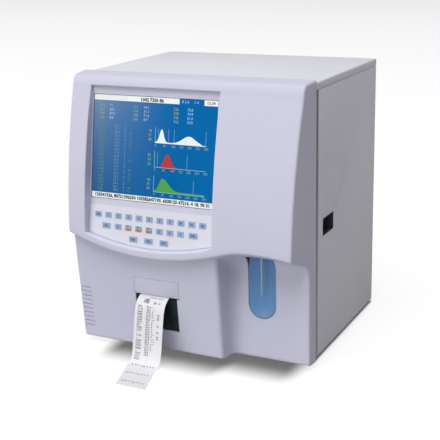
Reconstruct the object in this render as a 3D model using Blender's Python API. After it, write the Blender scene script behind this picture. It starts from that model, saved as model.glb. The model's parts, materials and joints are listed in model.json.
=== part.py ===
"""Bench hematology analyzer: moulded front cover, sheet metal body and the works inside.

Metres, +Z up. X runs to the right seen from the front. The analyzer frame has y = 0 at the
seam where the front cover meets the body, y grows to the rear, and z = 0 is the bench top.
"""
import math

import bmesh
import bpy
from mathutils import Matrix, Vector

for old in list(bpy.data.objects):
    bpy.data.objects.remove(old, do_unlink=True)

# Overall sizes of the body
BODY_WIDTH = 0.389
half = BODY_WIDTH / 2
BODY_DEPTH = 0.2757
BODY_TOP = 0.4363
FOOT_HEIGHT = 0.0097
SHEET = 0.0015
GAP = 0.0003
OVERRUN = 0.02

# Colours as (red, green, blue), roughness, metallic
HOUSING = ((0.82, 0.82, 0.87), 0.45, 0.0)
METAL_PAINT = ((0.72, 0.73, 0.78), 0.5, 0.0)
STEEL = ((0.62, 0.63, 0.65), 0.35, 0.9)
DARK = ((0.02, 0.03, 0.035), 0.3, 0.0)
BLACK_RUBBER = ((0.03, 0.03, 0.03), 0.85, 0.0)
CLEAR_PLASTIC = ((0.75, 0.78, 0.8), 0.15, 0.0)
BOARD_GREEN = ((0.03, 0.22, 0.1), 0.5, 0.0)
KEY_BLUE = ((0.14, 0.33, 0.62), 0.4, 0.0)
SCREEN_BLUE = ((0.0, 0.14, 0.47), 0.2, 0.0)
PAPER = ((0.9, 0.9, 0.9), 0.8, 0.0)
PUMP_GREY = ((0.25, 0.26, 0.28), 0.45, 0.0)


def frame(name, place, tilt=0.0, parent=None):
    """An empty that carries a group of pieces, tilted about X."""
    empty = bpy.data.objects.new(name, None)
    bpy.context.collection.objects.link(empty)
    empty.location = place
    empty.rotation_euler = (tilt, 0.0, 0.0)
    empty.parent = parent
    return empty


def block(low, high):
    """A box between two corners."""
    shape = bmesh.new()
    size = Vector(high) - Vector(low)
    middle = (Vector(high) + Vector(low)) / 2
    bmesh.ops.create_cube(shape, size=1, matrix=Matrix.Translation(middle) @ Matrix.Diagonal((*size, 1)))
    return shape


def rod(radius, start, end, sides=16, end_radius=None):
    """A round bar or cone between two points."""
    start, end = Vector(start), Vector(end)
    along = end - start
    turn = along.to_track_quat("Z", "Y").to_matrix().to_4x4()
    shape = bmesh.new()
    bmesh.ops.create_cone(shape, cap_ends=True, segments=sides, radius1=radius,
                          radius2=radius if end_radius is None else end_radius,
                          depth=along.length, matrix=Matrix.Translation((start + end) / 2) @ turn)
    return shape


def extrusion(outline, axis, low, high):
    """A closed outline pushed along an axis. The outline holds the other two coordinates in order."""
    place = {"X": lambda a, b, c: (c, a, b), "Y": lambda a, b, c: (a, c, b),
             "Z": lambda a, b, c: (a, b, c)}[axis]
    shape = bmesh.new()
    face = shape.faces.new([shape.verts.new(place(a, b, low)) for a, b in outline])
    side = bmesh.ops.extrude_face_region(shape, geom=[face])
    moved = [item for item in side["geom"] if isinstance(item, bmesh.types.BMVert)]
    push = Vector(place(0, 0, high)) - Vector(place(0, 0, low))
    bmesh.ops.translate(shape, verts=moved, vec=push)
    bmesh.ops.recalc_face_normals(shape, faces=shape.faces)
    return shape


def turned(profile, centre, sides, axis="Z"):
    """A turned solid: the profile is (radius, height) from one end of the axis to the other."""
    turn = {"Z": Matrix(), "Y": Matrix.Rotation(-math.pi / 2, 4, "X"),
            "X": Matrix.Rotation(math.pi / 2, 4, "Y")}[axis]
    shape = bmesh.new()
    verts = [shape.verts.new((radius, 0, height)) for radius, height in profile]
    edges = [shape.edges.new(pair) for pair in zip(verts, verts[1:])]
    bmesh.ops.spin(shape, geom=verts + edges, cent=(0, 0, 0), axis=(0, 0, 1), angle=2 * math.pi, steps=sides,
                   use_merge=True)
    bmesh.ops.remove_doubles(shape, verts=shape.verts, dist=GAP / 100)
    bmesh.ops.recalc_face_normals(shape, faces=shape.faces)
    bmesh.ops.transform(shape, matrix=Matrix.Translation(centre) @ turn, verts=shape.verts)
    return shape


def together(*shapes):
    """Several separate shapes in one mesh, for a tool with many teeth."""
    whole = bmesh.new()
    for shape in shapes:
        mesh = bpy.data.meshes.new("part_of_tool")
        shape.to_mesh(mesh)
        whole.from_mesh(mesh)
        shape.free()
        bpy.data.meshes.remove(mesh)
    return whole


def arc(centre, radius, start, end, steps):
    """Points on a circle between two angles in degrees, both ends included."""
    angles = [math.radians(start + (end - start) * i / steps) for i in range(steps + 1)]
    return [(centre[0] + radius * math.cos(a), centre[1] + radius * math.sin(a)) for a in angles]


def make_object(name, shape, parent, pivot=(0, 0, 0)):
    bmesh.ops.translate(shape, verts=shape.verts, vec=-Vector(pivot))
    mesh = bpy.data.meshes.new(name)
    shape.to_mesh(mesh)
    shape.free()
    made = bpy.data.objects.new(name, mesh)
    bpy.context.collection.objects.link(made)
    made.parent = parent
    made.location = pivot
    return made


def paint(made, look):
    """Gives a sub-part a material of its own."""
    colour, roughness, metallic = look
    material = bpy.data.materials.new(made.name)
    material.use_nodes = True
    surface = material.node_tree.nodes["Principled BSDF"]
    surface.inputs["Base Color"].default_value = (*colour, 1)
    surface.inputs["Roughness"].default_value = roughness
    surface.inputs["Metallic"].default_value = metallic
    material.diffuse_color = (*colour, 1)
    made.data.materials.append(material)
    return made


def piece(name, shape, look, parent, pivot=(0, 0, 0)):
    """One sub-part with its own material; its origin is the pivot, on its joint's axis if it moves."""
    return paint(make_object(name, shape, parent, pivot), look)


def shape_with(target, shape, operation, parent=None):
    """Cut a shape out of a piece, or add it, with a Boolean that stays live."""
    tool = make_object(f"tool_{len(bpy.data.objects)}", shape, parent or target.parent)
    tool.hide_render = True
    tool.display_type = "WIRE"
    modifier = target.modifiers.new(operation.lower(), "BOOLEAN")
    modifier.operation = operation
    modifier.object = tool
    return tool


def cut(target, shape, parent=None):
    return shape_with(target, shape, "DIFFERENCE", parent)


def add(target, shape, parent=None):
    return shape_with(target, shape, "UNION", parent)


def soften(target, width, segments=1):
    modifier = target.modifiers.new("soften", "BEVEL")
    modifier.width = width
    modifier.segments = segments
    modifier.limit_method = "ANGLE"
    return modifier


def smooth(target):
    for polygon in target.data.polygons:
        polygon.use_smooth = True
    target.data.set_sharp_from_angle(angle=math.radians(SMOOTH_DEGREES))


SMOOTH_DEGREES = 35

# Front cover: the visor's side profile, the lower front and the sample bay. Places on the left keep
# their distance from the left side, and those of the bay and the fluid side theirs from the right.
COVER_SIDE_LIP = 0.0005
COVER_WIDTH = BODY_WIDTH + COVER_SIDE_LIP * 2
COVER_LIP = 0.0036
COVER_DRAFT = 0.0066
COVER_WALL = 0.003
COVER_CORNER = 0.006
FACE_TOP_Y, FACE_TOP_Z = -0.0363, 0.430
FACE_MIDDLE_Y, FACE_MIDDLE_Z = -0.0669, 0.310
FACE_FOOT_Y, FACE_FOOT_Z = -0.0802, 0.195
BAND_FRONT_Y = -0.026
BAND_DROP = 0.0022
BEND_FOOT_Z = 0.420
SMILE_INSET, SMILE_Z, SMILE_RADIUS = 0.1495, 0.168, 0.362
SMILE_X = -half + SMILE_INSET
ARCH_INSET, ARCH_Z, ARCH_RADIUS = 0.0725, 0.195, 0.435
ARCH_X = half - ARCH_INSET
ARCH_START = 0.1545
ARCH_START_X = half - ARCH_START
EDGE_BLEND = 0.004
VISOR_EDGE_ROUND = 0.0045
LOWER_FRONT_Y = -0.0494
LOWER_LEAN_DEGREES = 5.01
LOWER_COVE = 0.008
LOWER_SLOPE = 0.001
BAY_Y = -0.0214
BAY_COVE = 0.030
BAY_SLOPE = 0.011
BAY_WIDTH = 0.132
BAY_SIDE_X = half - BAY_WIDTH
BAY_SIDE_DRAFT = 0.002
BAY_EDGE_ROUND = 0.006
BAY_FILLET = 0.012
BOTTOM_ROUND = 0.0045
FACE_ROWS = 7
LOWER_ROWS = 3
ROUND_STEPS = 3
COVE_STEPS = 4
FRONT_COLUMNS = 11
BAY_COLUMNS = 6


def face_y(z):
    """Side profile of the visor: the parabola through its top, middle and foot."""
    points = ((FACE_TOP_Y, FACE_TOP_Z), (FACE_MIDDLE_Y, FACE_MIDDLE_Z), (FACE_FOOT_Y, FACE_FOOT_Z))
    total = 0.0
    for y_here, z_here in points:
        share = 1.0
        for _, z_other in points:
            if z_other != z_here:
                share *= (z - z_other) / (z_here - z_other)
        total += y_here * share
    return total


def visor_edge_z(x):
    """Lower edge of the visor: a smile under the keys that runs into an arch over the bay."""
    smile = SMILE_Z + (x - SMILE_X) ** 2 / (2 * SMILE_RADIUS)
    if x < SMILE_X:
        return smile
    arch = ARCH_Z - (max(x, ARCH_START_X) - ARCH_X) ** 2 / (2 * ARCH_RADIUS)
    return (smile + arch - math.hypot(smile - arch, EDGE_BLEND)) / 2


def lower_front_y(z):
    """The lower front leans back towards the bench."""
    return LOWER_FRONT_Y - (z - FOOT_HEIGHT) * math.tan(math.radians(LOWER_LEAN_DEGREES))


def side_x(y):
    """Half width of the cover, which tapers from the seam to the face."""
    return COVER_WIDTH / 2 - COVER_DRAFT * y / FACE_FOOT_Y


def bay_step():
    """Columns across the bay's side wall: x, the distance behind the front and that before the bay face."""
    columns = []
    for i in range(ROUND_STEPS + 1):
        turn = math.radians(90 * i / ROUND_STEPS)
        x = BAY_SIDE_X - BAY_EDGE_ROUND * (1 - math.sin(turn))
        columns.append((x, BAY_EDGE_ROUND * (1 - math.cos(turn)), None))
    for i in range(COVE_STEPS + 1):
        turn = math.radians(90 * i / COVE_STEPS)
        x = BAY_SIDE_X + BAY_SIDE_DRAFT + BAY_FILLET * (1 - math.cos(turn))
        columns.append((x, None, BAY_FILLET * (1 - math.sin(turn))))
    return columns


def cover_profile(x, front_step, bay_step_back, inset):
    """Points (y, z) down the cover at x, from the rear of its top to the rear of its bottom."""
    edge_z = visor_edge_z(x) + inset
    band_z = BODY_TOP + COVER_LIP - inset
    bottom_z = FOOT_HEIGHT + inset

    def wall_y(z):
        if bay_step_back is None:
            return lower_front_y(z) + front_step + inset
        return BAY_Y - bay_step_back + inset

    rear = 0.0 if inset == 0 else OVERRUN
    reach = (wall_y(FACE_FOOT_Z) - inset - lower_front_y(FACE_FOOT_Z)) / (BAY_Y - lower_front_y(FACE_FOOT_Z))
    reach = min(max(reach, 0.0), 1.0)
    cove = LOWER_COVE + (BAY_COVE - LOWER_COVE) * reach + inset
    slope = LOWER_SLOPE + (BAY_SLOPE - LOWER_SLOPE) * reach
    nose = VISOR_EDGE_ROUND - inset / 2
    points = [(rear, band_z)]
    start = Vector((BAND_FRONT_Y + inset, band_z - BAND_DROP))
    end = Vector((face_y(BEND_FOOT_Z) + inset, BEND_FOOT_Z - inset / 2))
    corner = Vector((face_y(FACE_TOP_Z) + inset, band_z - BAND_DROP))
    for i in range(COVE_STEPS + 1):
        t = i / COVE_STEPS
        bend = start * (1 - t) ** 2 + corner * 2 * t * (1 - t) + end * t ** 2
        points.append((bend.x, bend.y))
    nose_z = edge_z + nose
    for i in range(1, FACE_ROWS + 1):
        z = end.y + (nose_z - end.y) * i / FACE_ROWS
        points.append((face_y(z) + inset, z))
    nose_y = points[-1][0]
    points += [(nose_y + nose * (1 - math.cos(math.radians(90 * i / ROUND_STEPS))),
                nose_z - nose * math.sin(math.radians(90 * i / ROUND_STEPS)))
               for i in range(1, ROUND_STEPS + 1)]
    cove_z = edge_z - slope - cove
    for i in range(COVE_STEPS + 1):
        turn = math.radians(90 * i / COVE_STEPS)
        z = cove_z + cove * math.cos(turn)
        points.append((wall_y(cove_z) - cove * (1 - math.sin(turn)), z))
    foot_z = bottom_z + BOTTOM_ROUND
    for i in range(1, LOWER_ROWS + 1):
        z = cove_z + (foot_z - cove_z) * i / LOWER_ROWS
        points.append((wall_y(z), z))
    for i in range(1, ROUND_STEPS + 1):
        turn = math.radians(90 * i / ROUND_STEPS)
        points.append((wall_y(foot_z) + BOTTOM_ROUND * (1 - math.cos(turn)),
                       foot_z - BOTTOM_ROUND * math.sin(turn)))
    points.append((rear, bottom_z))
    return points


def cover_block(inset):
    """The cover as a closed block lofted across its width, or its hollow when inset by the wall."""
    corner = COVER_CORNER - inset * 2 / 3
    inner_edge = side_x(FACE_FOOT_Y) - inset - corner
    step = bay_step()
    front_end = step[0][0]
    bay_start = step[-1][0]
    stations = [(-inner_edge + (front_end + inner_edge) * i / FRONT_COLUMNS, 0.0, None)
                for i in range(FRONT_COLUMNS)]
    stations += step
    stations += [(bay_start + (inner_edge - bay_start) * i / BAY_COLUMNS, None, 0.0)
                 for i in range(1, BAY_COLUMNS + 1)]
    columns = []
    for side, (x, front_step, back) in ((-1, stations[0]), (1, stations[-1])):
        flank = []
        for i in range(ROUND_STEPS + 1):
            turn = math.radians(90 * i / ROUND_STEPS)
            drop = corner * (1 - math.cos(turn))
            column = []
            profile = cover_profile(x, front_step, back, inset)
            last = len(profile) - 1
            for row, (y, z) in enumerate(profile):
                wide = side_x(y) - inset - corner * (1 - math.sin(turn))
                top_share = 1.0 if row <= COVE_STEPS else 0.0
                moved_y = y if row in (0, last) else y + drop
                column.append((side * wide, moved_y, z - drop * top_share))
            flank.append(column)
        rear = 0.0 if inset == 0 else OVERRUN
        flank.append([(side * (side_x(rear) - inset), rear, z) for _, _, z in flank[-1]])
        columns.append(flank)
    left, right = columns
    middle = []
    for x, front_step, back in stations[1:-1]:
        middle.append([(x, y, z) for y, z in cover_profile(x, front_step, back, inset)])
    grid = left[::-1] + middle + right
    shape = bmesh.new()
    verts = [[shape.verts.new(point) for point in column] for column in grid]
    for one, two in zip(verts, verts[1:]):
        for row in range(len(one) - 1):
            shape.faces.new((one[row], one[row + 1], two[row + 1], two[row]))
    rim = [column[0] for column in verts] + verts[-1][1:-1] + [column[-1] for column in reversed(verts)]
    rim += verts[0][-2:0:-1]
    shape.faces.new(rim)
    bmesh.ops.remove_doubles(shape, verts=shape.verts, dist=GAP / 100)
    bmesh.ops.triangulate(shape, faces=shape.faces)
    bmesh.ops.recalc_face_normals(shape, faces=shape.faces)
    return shape


# Recorder strip reaches furthest forward and the fluid fittings furthest back, so they set the origin
STRIP_END_Y = -0.171
FITTING_REACH = 0.014
SHIFT_Y = -(STRIP_END_Y + BODY_DEPTH + FITTING_REACH) / 2

analyzer = frame("analyzer", (0, SHIFT_Y, 0))

front_cover = piece("front_cover", cover_block(0.0), HOUSING, analyzer)
hollow = cut(front_cover, cover_block(COVER_WALL))

# Display: the frame sits at the middle of the picture, tilted with the recess floor
SCREEN_INSET = 0.1458
SCREEN_X = -half + SCREEN_INSET
SCREEN_Y = -0.0465
SCREEN_Z = 0.3304
SCREEN_TILT_DEGREES = 9.25
PICTURE_WIDTH = 0.2112
PICTURE_HEIGHT = 0.1584
PICTURE_MARGIN = 0.001
PICTURE_SET_BACK = 0.0015
SCREEN_THICK = 0.0015
RECESS_WIDTH = 0.2194
RECESS_SHIFT = 0.0014
RECESS_TOP = 0.092
RECESS_LOW = -0.1505
RECESS_SAG = 0.016
RECESS_STEPS = 12
RECESS_REACH = 0.045

screen = frame("screen_frame", (SCREEN_X, SCREEN_Y, SCREEN_Z), -math.radians(SCREEN_TILT_DEGREES), analyzer)


def recess_outline(margin, top):
    """Recess seen square on: straight top and sides, and a bottom edge that smiles with the visor."""
    wide = RECESS_WIDTH / 2 + margin
    low = RECESS_LOW - margin
    points = [(RECESS_SHIFT - wide, top), (RECESS_SHIFT + wide, top)]
    for i in range(RECESS_STEPS + 1):
        share = 1 - 2 * i / RECESS_STEPS
        points.append((RECESS_SHIFT + wide * share, low + RECESS_SAG * share ** 2))
    return points


floor_front = -PICTURE_SET_BACK
floor_back = floor_front + COVER_WALL
tray_shape = extrusion(recess_outline(COVER_WALL, RECESS_TOP + COVER_WALL), "Y", -RECESS_REACH * 2,
                       floor_back)
cut(hollow, tray_shape, screen)
cut(front_cover, extrusion(recess_outline(0.0, RECESS_TOP), "Y", -RECESS_REACH, floor_front), screen)
window_half_x = PICTURE_WIDTH / 2 + PICTURE_MARGIN
window_half_z = PICTURE_HEIGHT / 2 + PICTURE_MARGIN
cut(front_cover, block((-window_half_x, floor_front - COVER_WALL, -window_half_z),
                       (window_half_x, floor_back + COVER_WALL, window_half_z)), screen)

piece("lcd_screen", block((-window_half_x + GAP, 0, -window_half_z + GAP),
                          (window_half_x - GAP, SCREEN_THICK, window_half_z - GAP)), SCREEN_BLUE, screen)

MODULE_EDGE = 0.010
MODULE_DEPTH = 0.010
MODULE_BOARD = 0.004
module_x = PICTURE_WIDTH / 2 + MODULE_EDGE
module_z = PICTURE_HEIGHT / 2 + MODULE_EDGE
module_y = max(SCREEN_THICK, floor_back) + GAP
lcd_module = piece("lcd_module", block(
    (-module_x, module_y, -module_z), (module_x, module_y + MODULE_DEPTH, module_z)), STEEL, screen)
add(lcd_module, block((-module_x / 2, module_y + MODULE_DEPTH / 2, -module_z / 2),
                      (module_x / 2, module_y + MODULE_DEPTH + MODULE_BOARD, module_z / 2)))

# Membrane keypad: one printed overlay with raised key fields, and the board behind the floor
OVERLAY_TOP = -0.0897
OVERLAY_EDGE = 0.0013
OVERLAY_THICK = 0.0006
KEY_RISE = 0.0004
KEY_PITCH = 0.01815
KEY_ROW_PITCH = 0.0167
KEY_ROW_TOP = -0.1047
KEY_WIDTH = 0.0115
KEY_HEIGHT = 0.0088
WIDE_KEY = 0.0145
WIDE_KEY_X = 0.0757
LOW_KEY_PITCH = 0.0267
TOP_ROW_KEYS = 11
MIDDLE_ROW_KEYS = 7
LOW_ROW_KEYS = 3

key_places = [(KEY_PITCH * (i - (TOP_ROW_KEYS - 1) / 2), KEY_ROW_TOP, KEY_WIDTH)
              for i in range(TOP_ROW_KEYS)]
middle_row = KEY_ROW_TOP - KEY_ROW_PITCH
key_places += [(KEY_PITCH * (i - (MIDDLE_ROW_KEYS - 1) / 2), middle_row, KEY_WIDTH)
               for i in range(MIDDLE_ROW_KEYS)]
key_places += [(side * WIDE_KEY_X, middle_row, WIDE_KEY) for side in (-1, 1)]
low_row = middle_row - KEY_ROW_PITCH
key_places += [(LOW_KEY_PITCH * (i - (LOW_ROW_KEYS - 1) / 2), low_row, WIDE_KEY)
               for i in range(LOW_ROW_KEYS)]
overlay_back = floor_front - GAP
overlay_front = overlay_back - OVERLAY_THICK
keypad_overlay = piece("keypad_overlay", extrusion(recess_outline(-OVERLAY_EDGE, OVERLAY_TOP), "Y",
                                                   overlay_front, overlay_back), HOUSING, screen)
add(keypad_overlay, together(*[block((x - wide / 2, overlay_front - KEY_RISE, z - KEY_HEIGHT / 2),
                                     (x + wide / 2, overlay_front + OVERLAY_THICK / 2, z + KEY_HEIGHT / 2))
                               for x, z, wide in key_places]))

BOARD_THICK = 0.0016
BOARD_EDGE = 0.012
SOCKET_WIDTH = 0.030
SOCKET_DEPTH = 0.006
board_front = floor_back + GAP
board_x = KEY_PITCH * (TOP_ROW_KEYS - 1) / 2
board_top = min(KEY_ROW_TOP + BOARD_EDGE, -module_z - GAP)
keypad_board = piece("keypad_board", block((-board_x, board_front, low_row - KEY_HEIGHT / 2),
                                           (board_x, board_front + BOARD_THICK, board_top)),
                     BOARD_GREEN, screen)
add(keypad_board, block((-SOCKET_WIDTH / 2, board_front + BOARD_THICK / 2, low_row),
                        (SOCKET_WIDTH / 2, board_front + BOARD_THICK + SOCKET_DEPTH, middle_row)))

# Louvres moulded in the lower left corner of the cover
LOUVRE_COUNT = 10
LOUVRE_PITCH = 0.0075
LOUVRE_TOP = 0.097
LOUVRE_SLOT = 0.0022
LOUVRE_RUN = 0.020
LOUVRE_DEPTH = 0.0014
louvre_y = lower_front_y(LOUVRE_TOP)
louvre_x = side_x(louvre_y)
cut(front_cover, together(
    *[block((-louvre_x - LOUVRE_DEPTH, lower_front_y(z) - OVERRUN, z),
            (-louvre_x + LOUVRE_RUN, lower_front_y(z) + LOUVRE_DEPTH, z + LOUVRE_SLOT))
      for z in [LOUVRE_TOP - LOUVRE_PITCH * i for i in range(LOUVRE_COUNT)]]))

# Sample bay: the slot for the aspirate key, which also lets the probe down through the visor
KEY_INSET = 0.0777
KEY_X = half - KEY_INSET
KEY_SLOT_WIDTH = 0.0455
KEY_SLOT_FOOT = 0.0754
KEY_SLOT_TOP = 0.200
KEY_SLOT_FRONT = -0.046
KEY_CLEARANCE = 0.0005
KEY_TOP = 0.185
KEY_SET_BACK = 0.001
KEY_THICK = 0.009
KEY_DISH = 0.0045
KEY_DISH_RADIUS = 0.045
KEY_TRAVEL = 0.0025
ROUND_SIDES = 24


def slot_outline(radius, centre_z, top):
    """Straight sides, a flat top and a round foot."""
    points = [(KEY_X + radius, top), (KEY_X - radius, top)]
    points += arc((KEY_X, centre_z), radius, 180, 360, ROUND_SIDES // 2)
    return points


slot_radius = KEY_SLOT_WIDTH / 2
slot_centre = KEY_SLOT_FOOT + slot_radius
cut(front_cover, extrusion(slot_outline(slot_radius, slot_centre, KEY_SLOT_TOP), "Y",
                           KEY_SLOT_FRONT, BAY_Y + COVER_WALL * 2))

key_front = BAY_Y + KEY_SET_BACK
key_back = key_front + KEY_THICK
aspirate_key = piece("aspirate_key",
                     extrusion(slot_outline(slot_radius - KEY_CLEARANCE, slot_centre, KEY_TOP), "Y",
                               key_front, key_back), KEY_BLUE, analyzer, (KEY_X, key_back, slot_centre))
dish_y = key_front - KEY_DISH_RADIUS + KEY_DISH
dish_profile = [(0.0, -KEY_DISH_RADIUS)]
dish_profile += [(KEY_DISH_RADIUS * math.cos(a), KEY_DISH_RADIUS * math.sin(a))
                 for a in [math.radians(-90 + 90 * i / COVE_STEPS) for i in range(1, COVE_STEPS + 1)]]
dish_profile += [(KEY_DISH_RADIUS, KEY_SLOT_TOP), (0.0, KEY_SLOT_TOP)]
cut(aspirate_key, turned(dish_profile, (KEY_X, dish_y, slot_centre), ROUND_SIDES * 2))

# Front plate of the chassis, behind the seam; its folded right edge is the strip beside the door
GROOVE = 0.004
STRIP_DEPTH = 0.005
FOLD = 0.0108
FOLD_GAP = 0.0007
TRAY_SHEET = 0.002
floor_top = FOOT_HEIGHT + TRAY_SHEET
plate_front = GROOVE
plate_back = GROOVE + SHEET
inner_half = half - SHEET - GAP
under_top = BODY_TOP - SHEET - GAP
fold_foot = BODY_TOP - FOLD - FOLD_GAP
front_plate = piece("front_plate", block((-inner_half, plate_front, floor_top + GAP),
                                         (inner_half, plate_back, fold_foot)), METAL_PAINT, analyzer)
plate_shoulder = inner_half - SHEET
add(front_plate, block((-plate_shoulder, plate_front, floor_top + TRAY_SHEET),
                       (plate_shoulder, plate_back, under_top)))
add(front_plate, block((inner_half - SHEET, plate_front, floor_top + GAP), (half, plate_back, fold_foot)))
add(front_plate, block((half - SHEET, plate_front, floor_top + GAP),
                       (half, plate_front + STRIP_DEPTH, fold_foot)))

# Base tray with upturned sides, and four rubber feet
TRAY_FLANGE = 0.015
DOOR_FLANGE = 0.012
DOOR_REAR_GAP = 0.0008
HINGE_ROOM = 0.0020
POST_DEPTH = 0.0180
right_inner = half - DOOR_FLANGE
base_tray = piece("base_tray", block((-half, GAP, FOOT_HEIGHT), (half, BODY_DEPTH, floor_top)), METAL_PAINT,
                  analyzer)
add(base_tray, block((-inner_half, plate_back + GAP, FOOT_HEIGHT),
                     (-inner_half + SHEET, BODY_DEPTH - SHEET - GAP, floor_top + TRAY_FLANGE)))
tray_right = right_inner - HINGE_ROOM
add(base_tray, block((tray_right - SHEET, plate_back + GAP, FOOT_HEIGHT),
                     (tray_right, BODY_DEPTH - SHEET - GAP - POST_DEPTH - GAP, floor_top + TRAY_FLANGE)))

FOOT_RADIUS = 0.011
FOOT_TOP_RADIUS = 0.009
FOOT_INSET = 0.032
for name, side, y in (
    ("foot_front_left", -1, GROOVE + FOOT_INSET), ("foot_front_right", 1, GROOVE + FOOT_INSET),
    ("foot_rear_left", -1, BODY_DEPTH - FOOT_INSET), ("foot_rear_right", 1, BODY_DEPTH - FOOT_INSET)):
    x = side * (half - FOOT_INSET)
    piece(name, rod(FOOT_TOP_RADIUS, (x, y, 0), (x, y, FOOT_HEIGHT - GAP), ROUND_SIDES // 2, FOOT_RADIUS),
          BLACK_RUBBER, analyzer)

# Top cover: one sheet folded down at both sides and at the rear
FOLD_ROUND = 0.0025
outer = arc((half - FOLD_ROUND, BODY_TOP - FOLD_ROUND), FOLD_ROUND, 0, 90, ROUND_STEPS)
inner_round = FOLD_ROUND - SHEET
inner = arc((half - FOLD_ROUND, BODY_TOP - FOLD_ROUND), inner_round, 90, 0, 1)
right_edge = [(half, BODY_TOP - FOLD)] + outer
right_inside = inner + [(half - SHEET, BODY_TOP - FOLD)]
top_outline = right_edge + [
    (-x, z) for x, z in reversed(right_edge)] + [(-x, z) for x, z in reversed(right_inside)]
top_outline += right_inside
top_cover = piece("top_cover", extrusion(top_outline, "Y", GAP, BODY_DEPTH), METAL_PAINT, analyzer)
add(top_cover, block((-half + FOLD_ROUND, BODY_DEPTH - SHEET, BODY_TOP - FOLD),
                     (half - FOLD_ROUND, BODY_DEPTH, BODY_TOP - SHEET / 2)))

# Left panel, with a bank of vents low at the rear for the power supply
VENT_COUNT = 8
VENT_PITCH = 0.010
VENT_LENGTH = 0.060
VENT_SLOT = 0.0035
VENT_REAR = 0.030
VENT_FOOT = 0.040
left_panel = piece("left_panel", block((-half, GROOVE, floor_top + GAP),
                                       (-half + SHEET, BODY_DEPTH - SHEET - GAP, fold_foot)),
                   METAL_PAINT, analyzer)
vent_y = BODY_DEPTH - VENT_REAR
cut(left_panel, together(*[block((-half - SHEET, vent_y - VENT_LENGTH, VENT_FOOT + VENT_PITCH * i),
                                 (-half + SHEET * 2, vent_y, VENT_FOOT + VENT_PITCH * i + VENT_SLOT))
                           for i in range(VENT_COUNT)]))

# Rear panel: fan grille, power entry, signal ports and fluid fittings
FAN_SIZE = 0.080
FAN_INSET = 0.1345
FAN_X = -half + FAN_INSET
FAN_Z = 0.300
FAN_OPENING = 0.036
GRILLE_PITCH = 0.0090
GRILLE_SLOT = 0.0060
GRILLE_COUNT = 7
GRILLE_BRIDGE = 0.003
POWER_INSET = 0.0765
POWER_X = -half + POWER_INSET
POWER_Z = 0.062
POWER_WIDTH = 0.076
POWER_HEIGHT = 0.030
PORTS_INSET = 0.1745
PORTS_X = -half + PORTS_INSET
PORTS_Z = 0.170
PORTS_WIDTH = 0.090
PORTS_HEIGHT = 0.040
FITTINGS_INSET = 0.0845
FITTINGS_X = half - FITTINGS_INSET
FITTINGS_Z = 0.340
FITTING_PITCH = 0.021
FITTING_COUNT = 4
FITTING_RADIUS = 0.0045
PANEL_RIM = 0.004
rear_front = BODY_DEPTH - SHEET
rear_right = right_inner - DOOR_REAR_GAP
rear_top = BODY_TOP - FOLD - FOLD_GAP
rear_panel = piece("rear_panel", block((-half, rear_front, floor_top + GAP),
                                       (rear_right, BODY_DEPTH, rear_top)), METAL_PAINT, analyzer)
add(rear_panel, block((-half + FOLD_ROUND + SHEET, rear_front - SHEET - GAP, rear_top - FOLD),
                      (rear_right - SHEET, rear_front + SHEET / 2, rear_top - SHEET)))
add(rear_panel, block((-half + FOLD_ROUND + SHEET, rear_front - SHEET - GAP, rear_top - SHEET * 2),
                      (rear_right - SHEET, rear_front - GAP, under_top)))
slots = []
for i in range(GRILLE_COUNT):
    z = (i - (GRILLE_COUNT - 1) / 2) * GRILLE_PITCH
    reach = math.sqrt(FAN_OPENING ** 2 - (abs(z) + GRILLE_SLOT / 2) ** 2)
    for side in (-1, 1):
        ends = sorted((FAN_X + side * GRILLE_BRIDGE / 2, FAN_X + side * reach))
        slots.append(block((ends[0], rear_front - SHEET, FAN_Z + z - GRILLE_SLOT / 2),
                           (ends[1], BODY_DEPTH + SHEET, FAN_Z + z + GRILLE_SLOT / 2)))
cut(rear_panel, together(*slots))


def panel_hole(x, z, width, height):
    """A rectangular hole through the rear panel, one rim smaller than the plate that covers it."""
    wide = width / 2 - PANEL_RIM
    tall = height / 2 - PANEL_RIM
    return block((x - wide, rear_front - SHEET, z - tall), (x + wide, BODY_DEPTH + SHEET, z + tall))


fitting_places = [FITTINGS_X + FITTING_PITCH * (i - (FITTING_COUNT - 1) / 2) for i in range(FITTING_COUNT)]
cut(rear_panel, panel_hole(POWER_X, POWER_Z, POWER_WIDTH, POWER_HEIGHT))
cut(rear_panel, panel_hole(PORTS_X, PORTS_Z, PORTS_WIDTH, PORTS_HEIGHT))
cut(rear_panel, together(*[rod(FITTING_RADIUS + GAP, (x, rear_front - SHEET, FITTINGS_Z),
                               (x, BODY_DEPTH + SHEET, FITTINGS_Z)) for x in fitting_places]))

# Partition between the electronics on the left and the fluid side on the right
PARTITION_INSET = 0.1495
PARTITION_X = half - PARTITION_INSET
partition_right = PARTITION_X + SHEET
partition_plate = piece("partition_plate", block((PARTITION_X, plate_back + GAP, floor_top + GAP),
                                                 (partition_right, rear_front - SHEET - GAP * 2, under_top)),
                        METAL_PAINT, analyzer)
add(partition_plate, block((PARTITION_X, rear_front - SHEET * 2, floor_top + GAP),
                           (partition_right, rear_front - GAP, rear_top - FOLD - SHEET)))
wiring_hole_y = BODY_DEPTH * 2 / 3
WIRING_HOLE = 0.018
cut(partition_plate, rod(WIRING_HOLE, (PARTITION_X - SHEET, wiring_hole_y, under_top - WIRING_HOLE * 2),
                         (partition_right + SHEET, wiring_hole_y, under_top - WIRING_HOLE * 2), ROUND_SIDES))

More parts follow.
